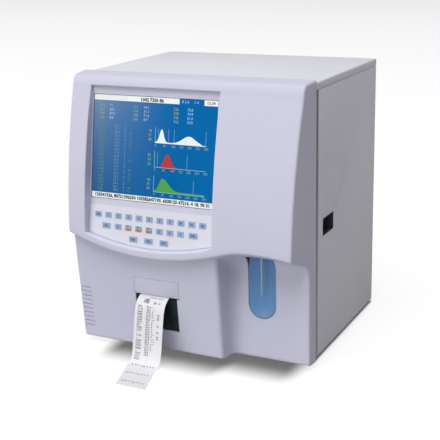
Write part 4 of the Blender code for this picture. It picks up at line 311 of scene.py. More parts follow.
# Hoses: clear flexible tube of 4.8 mm pushed on to ports and held by sprung clips. Two drain the baths
# down to the valves, the third goes from the pump over into the waste chamber.
HOSE_ACROSS = 0.0048
HOSE_SIDES = 20
HOSE_STEPS = 8
HOSE_SKIN = (0.78, 0.80, 0.78)
DRAIN_WBC = ((0.0728, -0.01935, 0.1917), (0.0728, -0.01935, 0.1857), (0.07025, -0.02003, 0.1721),
             (0.0643, -0.0216, 0.1525), (0.05835, -0.02318, 0.1329), (0.0558, -0.02385, 0.1193),
             (0.0558, -0.02385, 0.1133))
DRAIN_RBC = ((0.0728, 0.02465, 0.1917), (0.0728, 0.02465, 0.1857), (0.07025, 0.02593, 0.1721),
             (0.0643, 0.0289, 0.1525), (0.05835, 0.03188, 0.1329), (0.0558, 0.03315, 0.1193),
             (0.0558, 0.03315, 0.1133))
WASTE = ((0.122, 0.00315, 0.0573), (0.122, 0.00315, 0.0633), (0.12127, 0.01239, 0.10849),
         (0.11916, 0.03906, 0.14673), (0.11601, 0.07875, 0.17218), (0.11229, 0.12571, 0.1813),
         (0.11142, 0.13677, 0.17929), (0.11067, 0.14617, 0.17375), (0.11018, 0.15238, 0.16525),
         (0.110, 0.15465, 0.1553), (0.110, 0.15465, 0.1493))
CLIP_INSIDE, CLIP_OUTSIDE, CLIP_TALL = 0.00315, 0.0039, 0.0052
SPRING_STEEL = (0.50, 0.51, 0.52)


def smooth_line(knots, steps):
    """A rounder line through the same points."""
    points = []
    for i in range(len(knots) - 1):
        before, here = knots[max(i - 1, 0)], knots[i]
        after, later = knots[i + 1], knots[min(i + 2, len(knots) - 1)]
        for k in range(steps):
            t = k / steps
            points.append(0.5 * (2 * here + (after - before) * t
                                 + (2 * before - 5 * here + 4 * after - later) * t ** 2
                                 + (3 * here - before - 3 * after + later) * t ** 3))
    points.append(knots[-1])
    return points


def held(name, shape):
    """A bmesh kept as an object of its own."""
    mesh = bpy.data.meshes.new(name)
    shape.to_mesh(mesh)
    shape.free()
    made = bpy.data.objects.new(name, mesh)
    scene.collection.objects.link(made)
    return made


def settled(made):
    """The object's modifiers worked into a plain mesh."""
    bpy.context.view_layer.update()
    mesh = bpy.data.meshes.new_from_object(made.evaluated_get(bpy.context.evaluated_depsgraph_get()))
    made.modifiers.clear()
    made.data = mesh
    return made


def ready(made, body, finish, *nodes, slot=None, crease=35):
    """Smooths a finished piece, gives it its surface and sets it on its body in place of CAD nodes."""
    for polygon in made.data.polygons:
        polygon.use_smooth = True
    made.data.set_sharp_from_angle(angle=math.radians(crease))
    made.data.materials.clear()
    made.data.materials.append(finish.material)
    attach(made, body)
    if nodes:
        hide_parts(*nodes)
    return made


def tube(name, path, radius, sides):
    """A round tube along a path, closed at both ends."""
    shape = bmesh.new()
    rings = []
    side = (path[1] - path[0]).orthogonal().normalized()
    for i, place in enumerate(path):
        along = (path[min(i + 1, len(path) - 1)] - path[max(i - 1, 0)]).normalized()
        side = (side - along * side.dot(along)).normalized()
        up = along.cross(side)
        rings.append([shape.verts.new(place + (side * math.cos(turn) + up * math.sin(turn)) * radius)
                      for turn in (2 * math.pi * k / sides for k in range(sides))])
    for one, two in zip(rings, rings[1:]):
        for k in range(sides):
            shape.faces.new((one[k], one[k - 1], two[k - 1], two[k]))
    shape.faces.new(rings[0])
    shape.faces.new(rings[-1])
    bmesh.ops.recalc_face_normals(shape, faces=shape.faces)
    return held(name, shape)


def lathed(profile, sides, place=Matrix()):
    """A turned shape: the profile is (radius, height) round the upright axis."""
    shape = bmesh.new()
    line = [shape.verts.new((radius, 0, height)) for radius, height in profile]
    edges = [shape.edges.new(pair) for pair in zip(line, line[1:])]
    bmesh.ops.spin(shape, geom=line + edges, cent=(0, 0, 0), axis=(0, 0, 1), angle=2 * math.pi, steps=sides,
                   use_merge=True)
    bmesh.ops.remove_doubles(shape, verts=shape.verts, dist=0.000002)
    bmesh.ops.recalc_face_normals(shape, faces=shape.faces)
    bmesh.ops.transform(shape, matrix=place, verts=shape.verts)
    return shape


class Layout(Maker):
    """A Geometry Nodes tree with named inputs, made here and run once."""

    KINDS = {"Geometry": "NodeSocketGeometry", "Thing": "NodeSocketObject", "Finish": "NodeSocketMaterial"}

    def __init__(self, name, **numbers_in):
        tree = bpy.data.node_groups.new(name, "GeometryNodeTree")
        super().__init__(tree)
        tree.interface.new_socket("Geometry", in_out="OUTPUT", socket_type="NodeSocketGeometry")
        for label, kind in self.KINDS.items():
            tree.interface.new_socket(label, in_out="INPUT", socket_type=kind)
        for label, value in numbers_in.items():
            made = tree.interface.new_socket(label, in_out="INPUT", socket_type="NodeSocketFloat")
            made.default_value = value
        self.entry = tree.nodes.new("NodeGroupInput")

    def given(self, label):
        return Link(self, self.entry.outputs[label])

    def end(self, shapes):
        """Real copies with their surface, as the tree's result."""
        real = self.add("GeometryNodeRealizeInstances", None, {0: shapes})
        faced = self.add("GeometryNodeSetMaterial", None,
                         {"Geometry": real, "Material": self.given("Finish")})
        self.feed(self.tree.nodes.new("NodeGroupOutput").inputs[0], faced)

    def run(self, name, start, finish, thing=None, **values):
        """Grows the tree on a start mesh and leaves a plain mesh."""
        made = bpy.data.objects.new(name, start)
        scene.collection.objects.link(made)
        modifier = made.modifiers.new("layout", "NODES")
        modifier.node_group = self.tree
        wanted = {"Finish": finish.material, "Thing": thing, **values}
        for item in self.tree.interface.items_tree:
            if item.in_out == "INPUT" and wanted.get(item.name) is not None:
                modifier[item.identifier] = wanted[item.name]
        return settled(made)


copies = Layout("copies", Size=1.0)
turned = copies.add("GeometryNodeInputNamedAttribute", {"data_type": "FLOAT_VECTOR"}, {"Name": "turn"})
grown = copies.add("GeometryNodeInputNamedAttribute", {"data_type": "FLOAT_VECTOR"}, {"Name": "grow"})
thing_in = copies.add("GeometryNodeObjectInfo", None, {"Object": copies.given("Thing")}, out="Geometry")
scaled = copies.add("ShaderNodeVectorMath", {"operation": "SCALE"},
                    {0: grown, "Scale": copies.given("Size")})
copies.end(copies.add("GeometryNodeInstanceOnPoints", None,
                      {"Points": copies.given("Geometry"), "Instance": thing_in, "Rotation": turned,
                       "Scale": scaled}))


def repeated(name, thing, places, body, finish, slot, crease=35):
    """Copies of a small piece at places: each is a point, a turn and a growth along the piece's axes."""
    start = bpy.data.meshes.new(name)
    start.from_pydata([tuple(point) for point, _, _ in places], [], [])
    for label, index in (("turn", 1), ("grow", 2)):
        attribute = start.attributes.new(label, "FLOAT_VECTOR", "POINT")
        for i, place in enumerate(places):
            attribute.data[i].vector = place[index]
    made = copies.run(name, start, finish, thing)
    bpy.data.objects.remove(thing, do_unlink=True)
    made.data.name = name
    return ready(made, body, finish, slot=slot, crease=crease)


hose_clear = Finish("soft_hose", HOSE_SKIN, 0.3, spots=(90.0, 0.06), sheen=(150.0, 0.15, 0.25),
                    Transmission_Weight=0.35, IOR=1.41)
clip_steel = Finish("hose_clip_steel", SPRING_STEEL, 0.3, 0.9, spots=(600.0, 0.2), sheen=(900.0, 0.2, 0.22))

hose_ends = []
for node, route in (("hose_wbc_drain", DRAIN_WBC), ("hose_rbc_drain", DRAIN_RBC), ("hose_waste", WASTE)):
    path = smooth_line([Vector(point) for point in route], HOSE_STEPS)
    hose = tube(f"{node}_tube", path, HOSE_ACROSS / 2, HOSE_SIDES)
    ready(hose, "chassis", hose_clear, node)
    sum((b - a).length for a, b in zip(path, path[1:]))
    hose_ends += [route[0], route[-1]]
clip_ring = held("clip_ring", lathed([(CLIP_INSIDE, -CLIP_TALL / 2), (CLIP_OUTSIDE, -CLIP_TALL / 2),
                                      (CLIP_OUTSIDE, CLIP_TALL / 2), (CLIP_INSIDE, CLIP_TALL / 2),
                                      (CLIP_INSIDE, -CLIP_TALL / 2)], 32))
repeated("hose_clips", clip_ring, [(point, (0, 0, 0), (1, 1, 1)) for point in hose_ends], "chassis",
         clip_steel, "hose_waste")

# Front cover: one moulding in lavender white with a fine spark-eroded texture. Its face is drawn from a
# side profile, a lower edge that smiles under the keys and arches over the bay, and a round for each
# corner. It slips over folds of the front plate, and its recess, bay and recorder hole are moulded in.
COVER_HALF = 0.195
COVER_TOP, COVER_FOOT = 0.4399, 0.0097
COVER_WALL = 0.003
COVER_CORNER = 0.0036
COVER_DRAFT = 0.0066
FACE_POINTS = ((-0.0363, 0.430), (-0.0669, 0.310), (-0.0802, 0.195))
BAND_FRONT, BAND_DROP, BEND_FOOT = -0.026, 0.0022, 0.420
SMILE_X, SMILE_Z, SMILE_RADIUS = -0.045, 0.168, 0.362
ARCH_X, ARCH_Z, ARCH_RADIUS, ARCH_START = 0.122, 0.195, 0.435, 0.040
EDGE_BLEND = 0.004
NOSE_ROUND = 0.0045
LOWER_FRONT, LOWER_TURN = -0.0494, math.radians(5.01)
LOWER_COVE, LOWER_SLOPE = 0.008, 0.001
BAY_BACK, BAY_COVE, BAY_SLOPE = -0.0214, 0.030, 0.011
BAY_SIDE, BAY_DRAFT, BAY_EDGE, BAY_FILLET = 0.0625, 0.002, 0.006, 0.012
FOOT_ROUND = 0.0045
HOLLOW_REAR = 0.02
COVER_STEPS, COVER_COLUMNS = 8, 34
HOLLOW_STEPS, HOLLOW_COLUMNS = 4, 16
HOUSING = (0.645, 0.640, 0.770)


def face_y(z):
    """How far forward the visor's face is at a height."""
    total = 0.0
    for y_here, z_here in FACE_POINTS:
        share = 1.0
        for _, z_other in FACE_POINTS:
            if z_other != z_here:
                share *= (z - z_other) / (z_here - z_other)
        total += y_here * share
    return total


def visor_edge(x):
    """Height of the visor's lower edge."""
    smile = SMILE_Z + (x - SMILE_X) ** 2 / (2 * SMILE_RADIUS)
    if x < SMILE_X:
        return smile
    arch = ARCH_Z - (max(x, ARCH_START) - ARCH_X) ** 2 / (2 * ARCH_RADIUS)
    return (smile + arch - math.hypot(smile - arch, EDGE_BLEND)) / 2


def lower_y(z):
    """How far forward the flat lower front stands at a height."""
    return LOWER_FRONT - (z - COVER_FOOT) * math.tan(LOWER_TURN)


def cover_side(y):
    """Half the cover's width, which draws in towards the front."""
    return COVER_HALF - COVER_DRAFT * y / FACE_POINTS[2][0]


def quarter(steps, first=0):
    """The angles of a right angle's even steps."""
    return [math.radians(90 * i / steps) for i in range(first, steps + 1)]


def cover_column(x, front_step, bay_back, inset, fine):
    """Points (y, z) down the cover at one x, from the rear of its top to the rear of its foot."""
    rear = HOLLOW_REAR if inset else 0.0
    edge = visor_edge(x) + inset
    top = COVER_TOP - inset
    foot = COVER_FOOT + inset

    def wall(z):
        return lower_y(z) + front_step + inset if bay_back is None else BAY_BACK - bay_back + inset

    face_foot = FACE_POINTS[2][1]
    reach = (wall(face_foot) - inset - lower_y(face_foot)) / (BAY_BACK - lower_y(face_foot))
    reach = min(max(reach, 0.0), 1.0)
    cove = LOWER_COVE + (BAY_COVE - LOWER_COVE) * reach + inset
    slope = LOWER_SLOPE + (BAY_SLOPE - LOWER_SLOPE) * reach
    nose = NOSE_ROUND - inset / 2
    start = Vector((BAND_FRONT + inset, top - BAND_DROP))
    end = Vector((face_y(BEND_FOOT) + inset, BEND_FOOT - inset / 2))
    corner = Vector((face_y(FACE_POINTS[0][1]) + inset, top - BAND_DROP))
    points = [(rear, top)]
    for i in range(2 * fine + 1):
        t = i / (2 * fine)
        bend = start * (1 - t) ** 2 + corner * 2 * t * (1 - t) + end * t ** 2
        points.append(tuple(bend))
    nose_z = edge + nose
    rows = 4 * fine
    for i in range(1, rows + 1):
        z = end.y + (nose_z - end.y) * i / rows
        points.append((face_y(z) + inset, z))
    nose_y = points[-1][0]
    points += [(nose_y + nose * (1 - math.cos(turn)), nose_z - nose * math.sin(turn))
               for turn in quarter(fine, 1)]
    cove_z = edge - slope - cove
    points += [(wall(cove_z) - cove * (1 - math.sin(turn)), cove_z + cove * math.cos(turn))
               for turn in quarter(2 * fine)]
    foot_z = foot + FOOT_ROUND
    for i in range(1, fine + 1):
        z = cove_z + (foot_z - cove_z) * i / fine
        points.append((wall(z), z))
    points += [(wall(foot_z) + FOOT_ROUND * (1 - math.cos(turn)), foot_z - FOOT_ROUND * math.sin(turn))
               for turn in quarter(fine, 1)]
    return points + [(rear, foot)]


def cover_loft(inset, fine, across):
    """The cover as one closed block, drawn column by column across its width.

    inset draws it in all round, fine is the steps of each round, across the columns of its left part.
    """
    corner = COVER_CORNER - inset * 2 / 3
    edge = cover_side(FACE_POINTS[2][0]) - inset - corner
    step = [(BAY_SIDE - BAY_EDGE * (1 - math.sin(turn)), BAY_EDGE * (1 - math.cos(turn)), None)
            for turn in quarter(fine)]
    step += [(BAY_SIDE + BAY_DRAFT + BAY_FILLET * (1 - math.cos(turn)), None,
              BAY_FILLET * (1 - math.sin(turn))) for turn in quarter(fine)]
    stations = [(-edge + (step[0][0] + edge) * i / across, 0.0, None) for i in range(across)]
    stations += step
    bay_start = step[-1][0]
    stations += [(bay_start + (edge - bay_start) * i / (across // 2), None, 0.0)
                 for i in range(1, across // 2 + 1)]
    flanks = []
    for side, (x, front_step, bay_back) in ((-1, stations[0]), (1, stations[-1])):
        flank = []
        for turn in quarter(fine):
            drop = corner * (1 - math.cos(turn))
            line = cover_column(x, front_step, bay_back, inset, fine)
            column = []
            for row, (y, z) in enumerate(line):
                wide = cover_side(y) - inset - corner * (1 - math.sin(turn))
                lifted_row = row <= 2 * fine
                ends = row in (0, len(line) - 1)
                column.append((side * wide, y if ends else y + drop, z - drop if lifted_row else z))
            flank.append(column)
        rear = HOLLOW_REAR if inset else 0.0
        flank.append([(side * (cover_side(rear) - inset), rear, z) for _, _, z in flank[-1]])
        flanks.append(flank)
    middle = [[(x, y, z) for y, z in cover_column(x, front_step, bay_back, inset, fine)]
              for x, front_step, bay_back in stations[1:-1]]
    grid = flanks[0][::-1] + middle + flanks[1]
    shape = bmesh.new()
    points = [[shape.verts.new((x, y + CASE_Y, z)) for x, y, z in column] for column in grid]
    for one, two in zip(points, points[1:]):
        for row in range(len(one) - 1):
            shape.faces.new((one[row], one[row + 1], two[row + 1], two[row]))
    rim = [column[0] for column in points] + points[-1][1:-1]
    rim += [column[-1] for column in reversed(points)] + points[0][-2:0:-1]
    shape.faces.new(rim)
    bmesh.ops.remove_doubles(shape, verts=shape.verts, dist=0.000003)
    bmesh.ops.triangulate(shape, faces=shape.faces)
    bmesh.ops.recalc_face_normals(shape, faces=shape.faces)
    return shape


def carved(made, tools, operation="DIFFERENCE"):
    """Cuts tools out of an object, or joins them to it, and clears them away."""
    for tool in tools:
        modifier = made.modifiers.new("carve", "BOOLEAN")
        modifier.operation = operation
        modifier.solver = "EXACT"
        modifier.object = tool
    settled(made)
    for tool in tools:
        bpy.data.objects.remove(tool, do_unlink=True)
    return made


def bar(low, high, place=Matrix()):
    """A plain block: a cutting tool, or the start of a piece."""
    shape = bmesh.new()
    size = Vector(high) - Vector(low)
    middle = (Vector(high) + Vector(low)) / 2
    bmesh.ops.create_cube(shape, size=1, matrix=place @ Matrix.Translation(middle)
                          @ Matrix.Diagonal((*size, 1)))
    return shape


def pushed(outline, low, high, place=Matrix()):
    """An outline (x, z) pushed along y."""
    shape = bmesh.new()
    face = shape.faces.new([shape.verts.new((x, low, z)) for x, z in outline])
    side = bmesh.ops.extrude_face_region(shape, geom=[face])
    moved = [item for item in side["geom"] if isinstance(item, bmesh.types.BMVert)]
    bmesh.ops.translate(shape, verts=moved, vec=(0, high - low, 0))
    bmesh.ops.recalc_face_normals(shape, faces=shape.faces)
    bmesh.ops.transform(shape, matrix=place, verts=shape.verts)
    return shape


def arc(centre, radius, start, end, steps):
    """Points round a centre from one angle in degrees to another."""
    angles = [math.radians(start + (end - start) * i / steps) for i in range(steps + 1)]
    return [(centre[0] + radius * math.cos(a), centre[1] + radius * math.sin(a)) for a in angles]


SCREEN_PLACE = Vector((-0.0487, -0.0465 + CASE_Y, 0.3304))
SCREEN_TILT = math.radians(9.25)
screen_frame = Matrix.Translation(SCREEN_PLACE) @ Matrix.Rotation(-SCREEN_TILT, 4, "X")
PICTURE_WIDE, PICTURE_TALL = 0.2112, 0.1584
PICTURE_BACK = 0.0015
RECESS_HALF, RECESS_SHIFT = 0.1097, 0.0014
RECESS_TOP, RECESS_LOW, RECESS_SAG = 0.092, -0.1505, 0.016
RIM_ROUND, LOW_RIM_ROUND = 0.0014, 0.0042
RIM_STEPS = 5
RECESS_STEPS = 40
CUT_OUT, CUT_SKIN = 0.02, 0.00002


def recess_outline(margin, top, steps):
    """The recess seen square on, and how much of its smiling foot each point belongs to."""
    wide = RECESS_HALF + margin
    points = []
    rows = 10
    for i in range(rows + 1):
        points.append((RECESS_SHIFT - wide, RECESS_LOW + RECESS_SAG
                       + (top - RECESS_LOW - RECESS_SAG) * i / rows, 0.0))
    for i in range(1, rows):
        points.append((RECESS_SHIFT - wide + 2 * wide * i / rows, top, 0.0))
    for i in range(rows + 1):
        points.append((RECESS_SHIFT + wide, top + (RECESS_LOW + RECESS_SAG - top) * i / rows, 0.0))
    for i in range(1, steps):
        share = 1 - 2 * i / steps
        points.append((RECESS_SHIFT + wide * share, RECESS_LOW - margin + RECESS_SAG * share ** 2,
                       min((1 - abs(share)) * 8, 1.0)))
    return points


def visor_surface(x, z):
    """Where a point of the screen's frame meets the visor's face, as the frame's own y."""
    y = -0.03
    for _ in range(12):
        spot = screen_frame @ Vector((x, y, z))
        y += (face_y(spot.z) + CASE_Y - spot.y) * 0.9
    return y


def recess_cutter():
    """Follows the rim of the recess with a round that grows along its foot."""
    flat = recess_outline(0.0, RECESS_TOP, RECESS_STEPS)
    count = len(flat)
    outward = []
    for i, (x, z, _) in enumerate(flat):
        before, after = flat[i - 1], flat[(i + 1) % count]
        along = Vector((after[0] - before[0], after[1] - before[1])).normalized()
        outward.append(Vector((-along.y, along.x)))
    shape = bmesh.new()
    rings = []
    last_ring = RIM_STEPS + 2
    for ring in range(last_ring + 1):
        verts = []
        for (x, z, low), out in zip(flat, outward):
            radius = RIM_ROUND + (LOW_RIM_ROUND - RIM_ROUND) * low
            turn = math.radians(90 * min(max(ring - 1, 0), RIM_STEPS) / RIM_STEPS)
            grown = radius * (1 - math.sin(turn))
            px, pz = x + out.x * grown, z + out.y * grown
            surface = visor_surface(px, pz)
            if ring == 0:
                y = surface - CUT_OUT
            elif ring == last_ring:
                y = -PICTURE_BACK
            else:
                y = surface + radius * (1 - math.cos(turn)) - CUT_SKIN
            verts.append(shape.verts.new(screen_frame @ Vector((px, y, pz))))
        rings.append(verts)
    for one, two in zip(rings, rings[1:]):
        for i in range(count):
            j = (i + 1) % count
            shape.faces.new((one[i], one[j], two[j], two[i]))
    shape.faces.new(rings[0])
    shape.faces.new(rings[-1])
    bmesh.ops.triangulate(shape, faces=shape.faces)
    bmesh.ops.recalc_face_normals(shape, faces=shape.faces)
    return shape


RECORDER_X, RECORDER_Z = -0.0463, 0.045
recorder_frame = (Matrix.Translation((RECORDER_X, lower_y(RECORDER_Z) + CASE_Y, RECORDER_Z))
                  @ Matrix.Rotation(LOWER_TURN, 4, "X"))
HATCH_LEFT, HATCH_RIGHT, HATCH_TOP = -0.0381, 0.0347, 0.0550
BEZEL_LEFT, BEZEL_RIGHT, BEZEL_TOP = -0.0392, 0.0393, 0.0843
SLIT, REVEAL = 0.0022, 0.0004
KEY_X, KEY_SLOT_HALF, KEY_SLOT_FOOT, KEY_SLOT_TOP = 0.1168, 0.02275, 0.0754, 0.200
key_centre = KEY_SLOT_FOOT + KEY_SLOT_HALF
LOUVRE_COUNT, LOUVRE_PITCH, LOUVRE_TOP = 10, 0.0075, 0.097
LOUVRE_SLOT, LOUVRE_RUN, LOUVRE_DEPTH = 0.0030, 0.022, 0.0021


def slot_outline(radius, top, steps):
    """The aspirate key's slot: straight sides over a half round foot."""
    return ([(KEY_X + radius, top), (KEY_X - radius, top)]
            + arc((KEY_X, key_centre), radius, 180, 360, steps))


case_shift = Matrix.Translation((0, CASE_Y, 0))
cover = held("front_cover_moulding", cover_loft(0.0, COVER_STEPS, COVER_COLUMNS))
hollow = held("cover_hollow", cover_loft(COVER_WALL, HOLLOW_STEPS, HOLLOW_COLUMNS))
tray_outline = [(x, z) for x, z, _ in recess_outline(COVER_WALL, RECESS_TOP + COVER_WALL, RECESS_STEPS)]
carved(hollow, [held("tray", pushed(tray_outline, -0.09, COVER_WALL - PICTURE_BACK, screen_frame))])
window_x, window_z = PICTURE_WIDE / 2 + 0.001, PICTURE_TALL / 2 + 0.001
louvre_side = cover_side(lower_y(LOUVRE_TOP))
louvres = []
for i in range(LOUVRE_COUNT):
    z = LOUVRE_TOP - LOUVRE_PITCH * i
    louvres.append(held("louvre", bar((-louvre_side - 0.0014, lower_y(z) - 0.02, z),
                                      (-louvre_side + LOUVRE_RUN, lower_y(z) + LOUVRE_DEPTH,
                                       z + LOUVRE_SLOT), case_shift)))
carved(cover, [
    hollow, held("recess", recess_cutter()),
    held("window", bar((-window_x, -2 * COVER_WALL, -window_z), (window_x, 2 * COVER_WALL, window_z),
                       screen_frame)),
    held("key_slot", pushed(slot_outline(KEY_SLOT_HALF, KEY_SLOT_TOP, 40), -0.046, -0.0154, case_shift)),
    held("hatch_hole", bar((HATCH_LEFT - REVEAL, -0.02, -REVEAL),
                           (HATCH_RIGHT + REVEAL, 0.0049, HATCH_TOP + SLIT), recorder_frame)),
    held("bezel_hole", bar((BEZEL_LEFT - REVEAL, -0.02, HATCH_TOP),
                           (BEZEL_RIGHT + REVEAL, 0.0049, BEZEL_TOP + REVEAL), recorder_frame)),
    *louvres])

moulded = Finish("moulded_housing", HOUSING, 0.42, spots=(5.0, 0.015), grain=(1500.0, 0.00003, 3.0),
                 sheen=(60.0, 0.08, 0.32), edge=0.0005, Specular_IOR_Level=0.06)
ready(cover, "chassis", moulded, "front_cover", crease=32)

# Display: a 10.4 inch panel behind the cover's window. The glass is the solid's own, and the picture is a
# skin of flat coloured shapes on it: a title bar, columns of plain numbers and three filled curves. Its
# blue ground carries painted glare towards the top left and painted shade towards the bottom left.
SCREEN_BLUE = (0.0, 0.126, 0.372)
SCREEN_PAINTED_GLARE = (0.185, 0.265, 0.400)
GLARE_WIDE, GLARE_CURVE, GLARE_FADE, PAINTED_DIM_LOW = 0.65, 1.3, 1.75, 0.33
LIT_BASE, GLASS_DARK, FRAME_STEEL = (0.02, 0.05, 0.1), (0.012, 0.05, 0.14), (0.56, 0.57, 0.58)
PICTURE_SKIN, CELLS_PER_METRE = 0.00004, 9000.0
BAR_PALE, BOX_PALE, CLOCK_PALE = (0.76, 0.80, 0.78), (0.82, 0.85, 0.84), (0.80, 0.83, 0.84)
LABEL_YELLOW = (0.27, 0.40, 0.15)
LABEL_OLIVE = (0.13, 0.23, 0.14)
VALUE_DIM = (0.16, 0.30, 0.52)
VALUE_PALE = (0.40, 0.58, 0.86)
INK = (0.03, 0.05, 0.08)
# Flat bars: left, right, foot and top as shares of the picture, then colour and layer.
BARS = ((0.0, 0.70, 0.052, 0.0, BAR_PALE, 1), (0.28, 0.695, 0.050, 0.004, BOX_PALE, 2),
        (0.895, 1.0, 0.052, 0.0, CLOCK_PALE, 1), (0.0, 1.0, 1.0, 0.945, BAR_PALE, 1))
# Single lines: left and top as shares, height of the digits in metres, colour and weight.
LINES = (("1042 7350 86", 0.385, 0.010, 0.0072, INK, 0.00035),
         ("0 2 6", 0.72, 0.012, 0.0058, VALUE_PALE, 0.0), ("1 4", 0.815, 0.012, 0.0058, VALUE_PALE, 0.0),
         ("12:34", 0.915, 0.010, 0.0062, INK, 0.0001),
         ("120341526, 80721396254 103582647193. 6038125 47216. 4 18. 90 31", 0.025, 0.952, 0.0070, INK,
          0.00035))
# Columns at the head: left of the names, and how far right of them the values stand.
HEAD_COLUMNS, HEAD_TOP = ((0.045, 0.085), (0.325, 0.09), (0.655, 0.11)), 0.085
LIST_TOP, LIST_PITCH = 0.275, 0.0052
PLOT_LEFT, PLOT_RIGHT, PLOT_SAMPLES = 0.515, 0.925, 60
PLOT_PALE, PLOT_RED, PLOT_GREEN = (0.78, 0.82, 0.81), (0.50, 0.040, 0.022), (0.075, 0.335, 0.060)
BASE_WIDE, AXIS_WIDE, TICK_TALL, AXIS_TALL = 0.0005, 0.0006, 0.135, 0.150
TICK_BLUE, AXIS_GREEN = (0.25, 0.45, 0.72), (0.30, 0.62, 0.55)


def lettering(text, size, spacing=1.0, weight=0.0):
    """Flat points and faces of plain digits and marks, thickened by a weight."""
    curve = bpy.data.curves.new("digits", "FONT")
    curve.body = text
    curve.size = size
    curve.offset = weight
    curve.resolution_u = 2
    curve.space_line = spacing
    holder = bpy.data.objects.new("digits", curve)
    mesh = bpy.data.meshes.new_from_object(holder)
    points = [(v.co.x, v.co.y) for v in mesh.vertices]
    faces = [tuple(p.vertices) for p in mesh.polygons]
    bpy.data.objects.remove(holder)
    bpy.data.curves.remove(curve)
    bpy.data.meshes.remove(mesh)
    return points, faces


class Picture:
    """Flat coloured shapes gathered in one mesh, each point with its own paint and its layer."""

    def __init__(self):
        self.points, self.faces, self.paints = [], [], []

    def shape(self, points, faces, colour, layer):
        start = len(self.points)
        self.points += [(x, z, layer) for x, z in points]
        self.faces += [tuple(start + i for i in face) for face in faces]
        self.paints += [colour if isinstance(colour[0], float) else colour[i] for i in range(len(points))]

    def patch(self, left, right, low, high, colour, layer=1):
        self.shape([(left, low), (right, low), (right, high), (left, high)], [(0, 1, 2, 3)], colour, layer)

    def curve(self, left, right, base, heights, colour, layer=2):
        """A filled curve over a base line."""
        count = len(heights)
        points = []
        for i, height in enumerate(heights):
            x = left + (right - left) * i / (count - 1)
            points += [(x, base), (x, base + max(height, 0.0001))]
        faces = [(2 * i, 2 * i + 2, 2 * i + 3, 2 * i + 1) for i in range(count - 1)]
        self.shape(points, faces, colour, layer)

    def write(self, text, left, top, size, colour, layer=3, spacing=1.0, weight=0.0):
        points, faces = lettering(text, size, spacing, weight)
        self.shape([(left + x, top - size * 0.75 + z) for x, z in points], faces, colour, layer)

    def piece(self, name, spot):
        """The shapes as one piece: spot gives the place of each x, z and layer."""
        mesh = bpy.data.meshes.new(name)
        mesh.from_pydata([spot(*point) for point in self.points], [], self.faces)
        paint = mesh.color_attributes.new("paint", "FLOAT_COLOR", "POINT")
        for i, colour in enumerate(self.paints):
            paint.data[i].color = (*colour, 1.0)
        mesh.validate()
        made = bpy.data.objects.new(name, mesh)
        scene.collection.objects.link(made)
        return made


numbers = random.Random(7)


def whole(low, high, share=None, gap=" "):
    """A form of plain whole numbers, with a gap in place of some where a share is given."""
    def form():
        if share is not None and numbers.random() >= share:
            return gap
        return str(numbers.randint(low, high))
    return form


def decimal():
    """A form of plain numbers with one decimal."""
    return f"{numbers.randint(1, 99)}.{numbers.randint(0, 9)}"


def column_of(count, form):
    """A column of plain made-up numbers."""
    return "\n".join(form() for _ in range(count))


def across(share):
    """Place across the picture, from its left edge."""
    return -PICTURE_WIDE / 2 + PICTURE_WIDE * share


def down(share):
    """Place down the picture, from its top edge."""
    return PICTURE_TALL / 2 - PICTURE_TALL * share


picture = Picture()
# Blue ground: painted glare, paler towards the top left and fading downward, and painted shade that dims it
# towards the bottom left.
grid_x, grid_z = 12, 9
glare_points, glare_faces, glare_paints = [], [], []
for row in range(grid_z + 1):
    for column in range(grid_x + 1):
        u, v = column / grid_x, row / grid_z
        glare_points.append((across(u), down(v)))
        painted_glare = max(0.0, 1.0 - u / GLARE_WIDE) ** GLARE_CURVE * math.exp(-GLARE_FADE * v)
        painted_dim = 1.0 - PAINTED_DIM_LOW * v * (1.0 - u)
        glare_paints.append(tuple((blue + (pale - blue) * painted_glare) * painted_dim
                                 for blue, pale in zip(SCREEN_BLUE, SCREEN_PAINTED_GLARE)))
        if row and column:
            i = row * (grid_x + 1) + column
            glare_faces.append((i, i - 1, i - grid_x - 2, i - grid_x - 1)[::-1])
picture.shape(glare_points, glare_faces, glare_paints, 0)
for left, right, low, high, colour, layer in BARS:
    picture.patch(across(left), across(right), down(low), down(high), colour, layer)
for text, left, top, size, colour, weight in LINES:
    picture.write(text, across(left), down(top), size, colour, weight=weight)
for left, value in HEAD_COLUMNS:
    picture.write(column_of(4, whole(100, 999)), across(left), down(HEAD_TOP), 0.0060, LABEL_YELLOW,
                  spacing=1.03)
    picture.write(column_of(4, decimal), across(left + value), down(HEAD_TOP), 0.0056, VALUE_PALE,
                  spacing=1.10)
for left, size, colour, form in ((0.045, 0.0052, LABEL_OLIVE, whole(100, 9999)),
                                 (0.180, 0.0050, VALUE_DIM, decimal),
                                 (0.262, 0.0050, VALUE_DIM, whole(1, 9)),
                                 (0.300, 0.0050, LABEL_OLIVE, whole(10, 99, 0.45))):
    picture.write(column_of(20, form), across(left), down(LIST_TOP), size, colour, spacing=LIST_PITCH / size)


def bell(x, middle, width, height):
    return height * math.exp(-((x - middle) / width) ** 2)


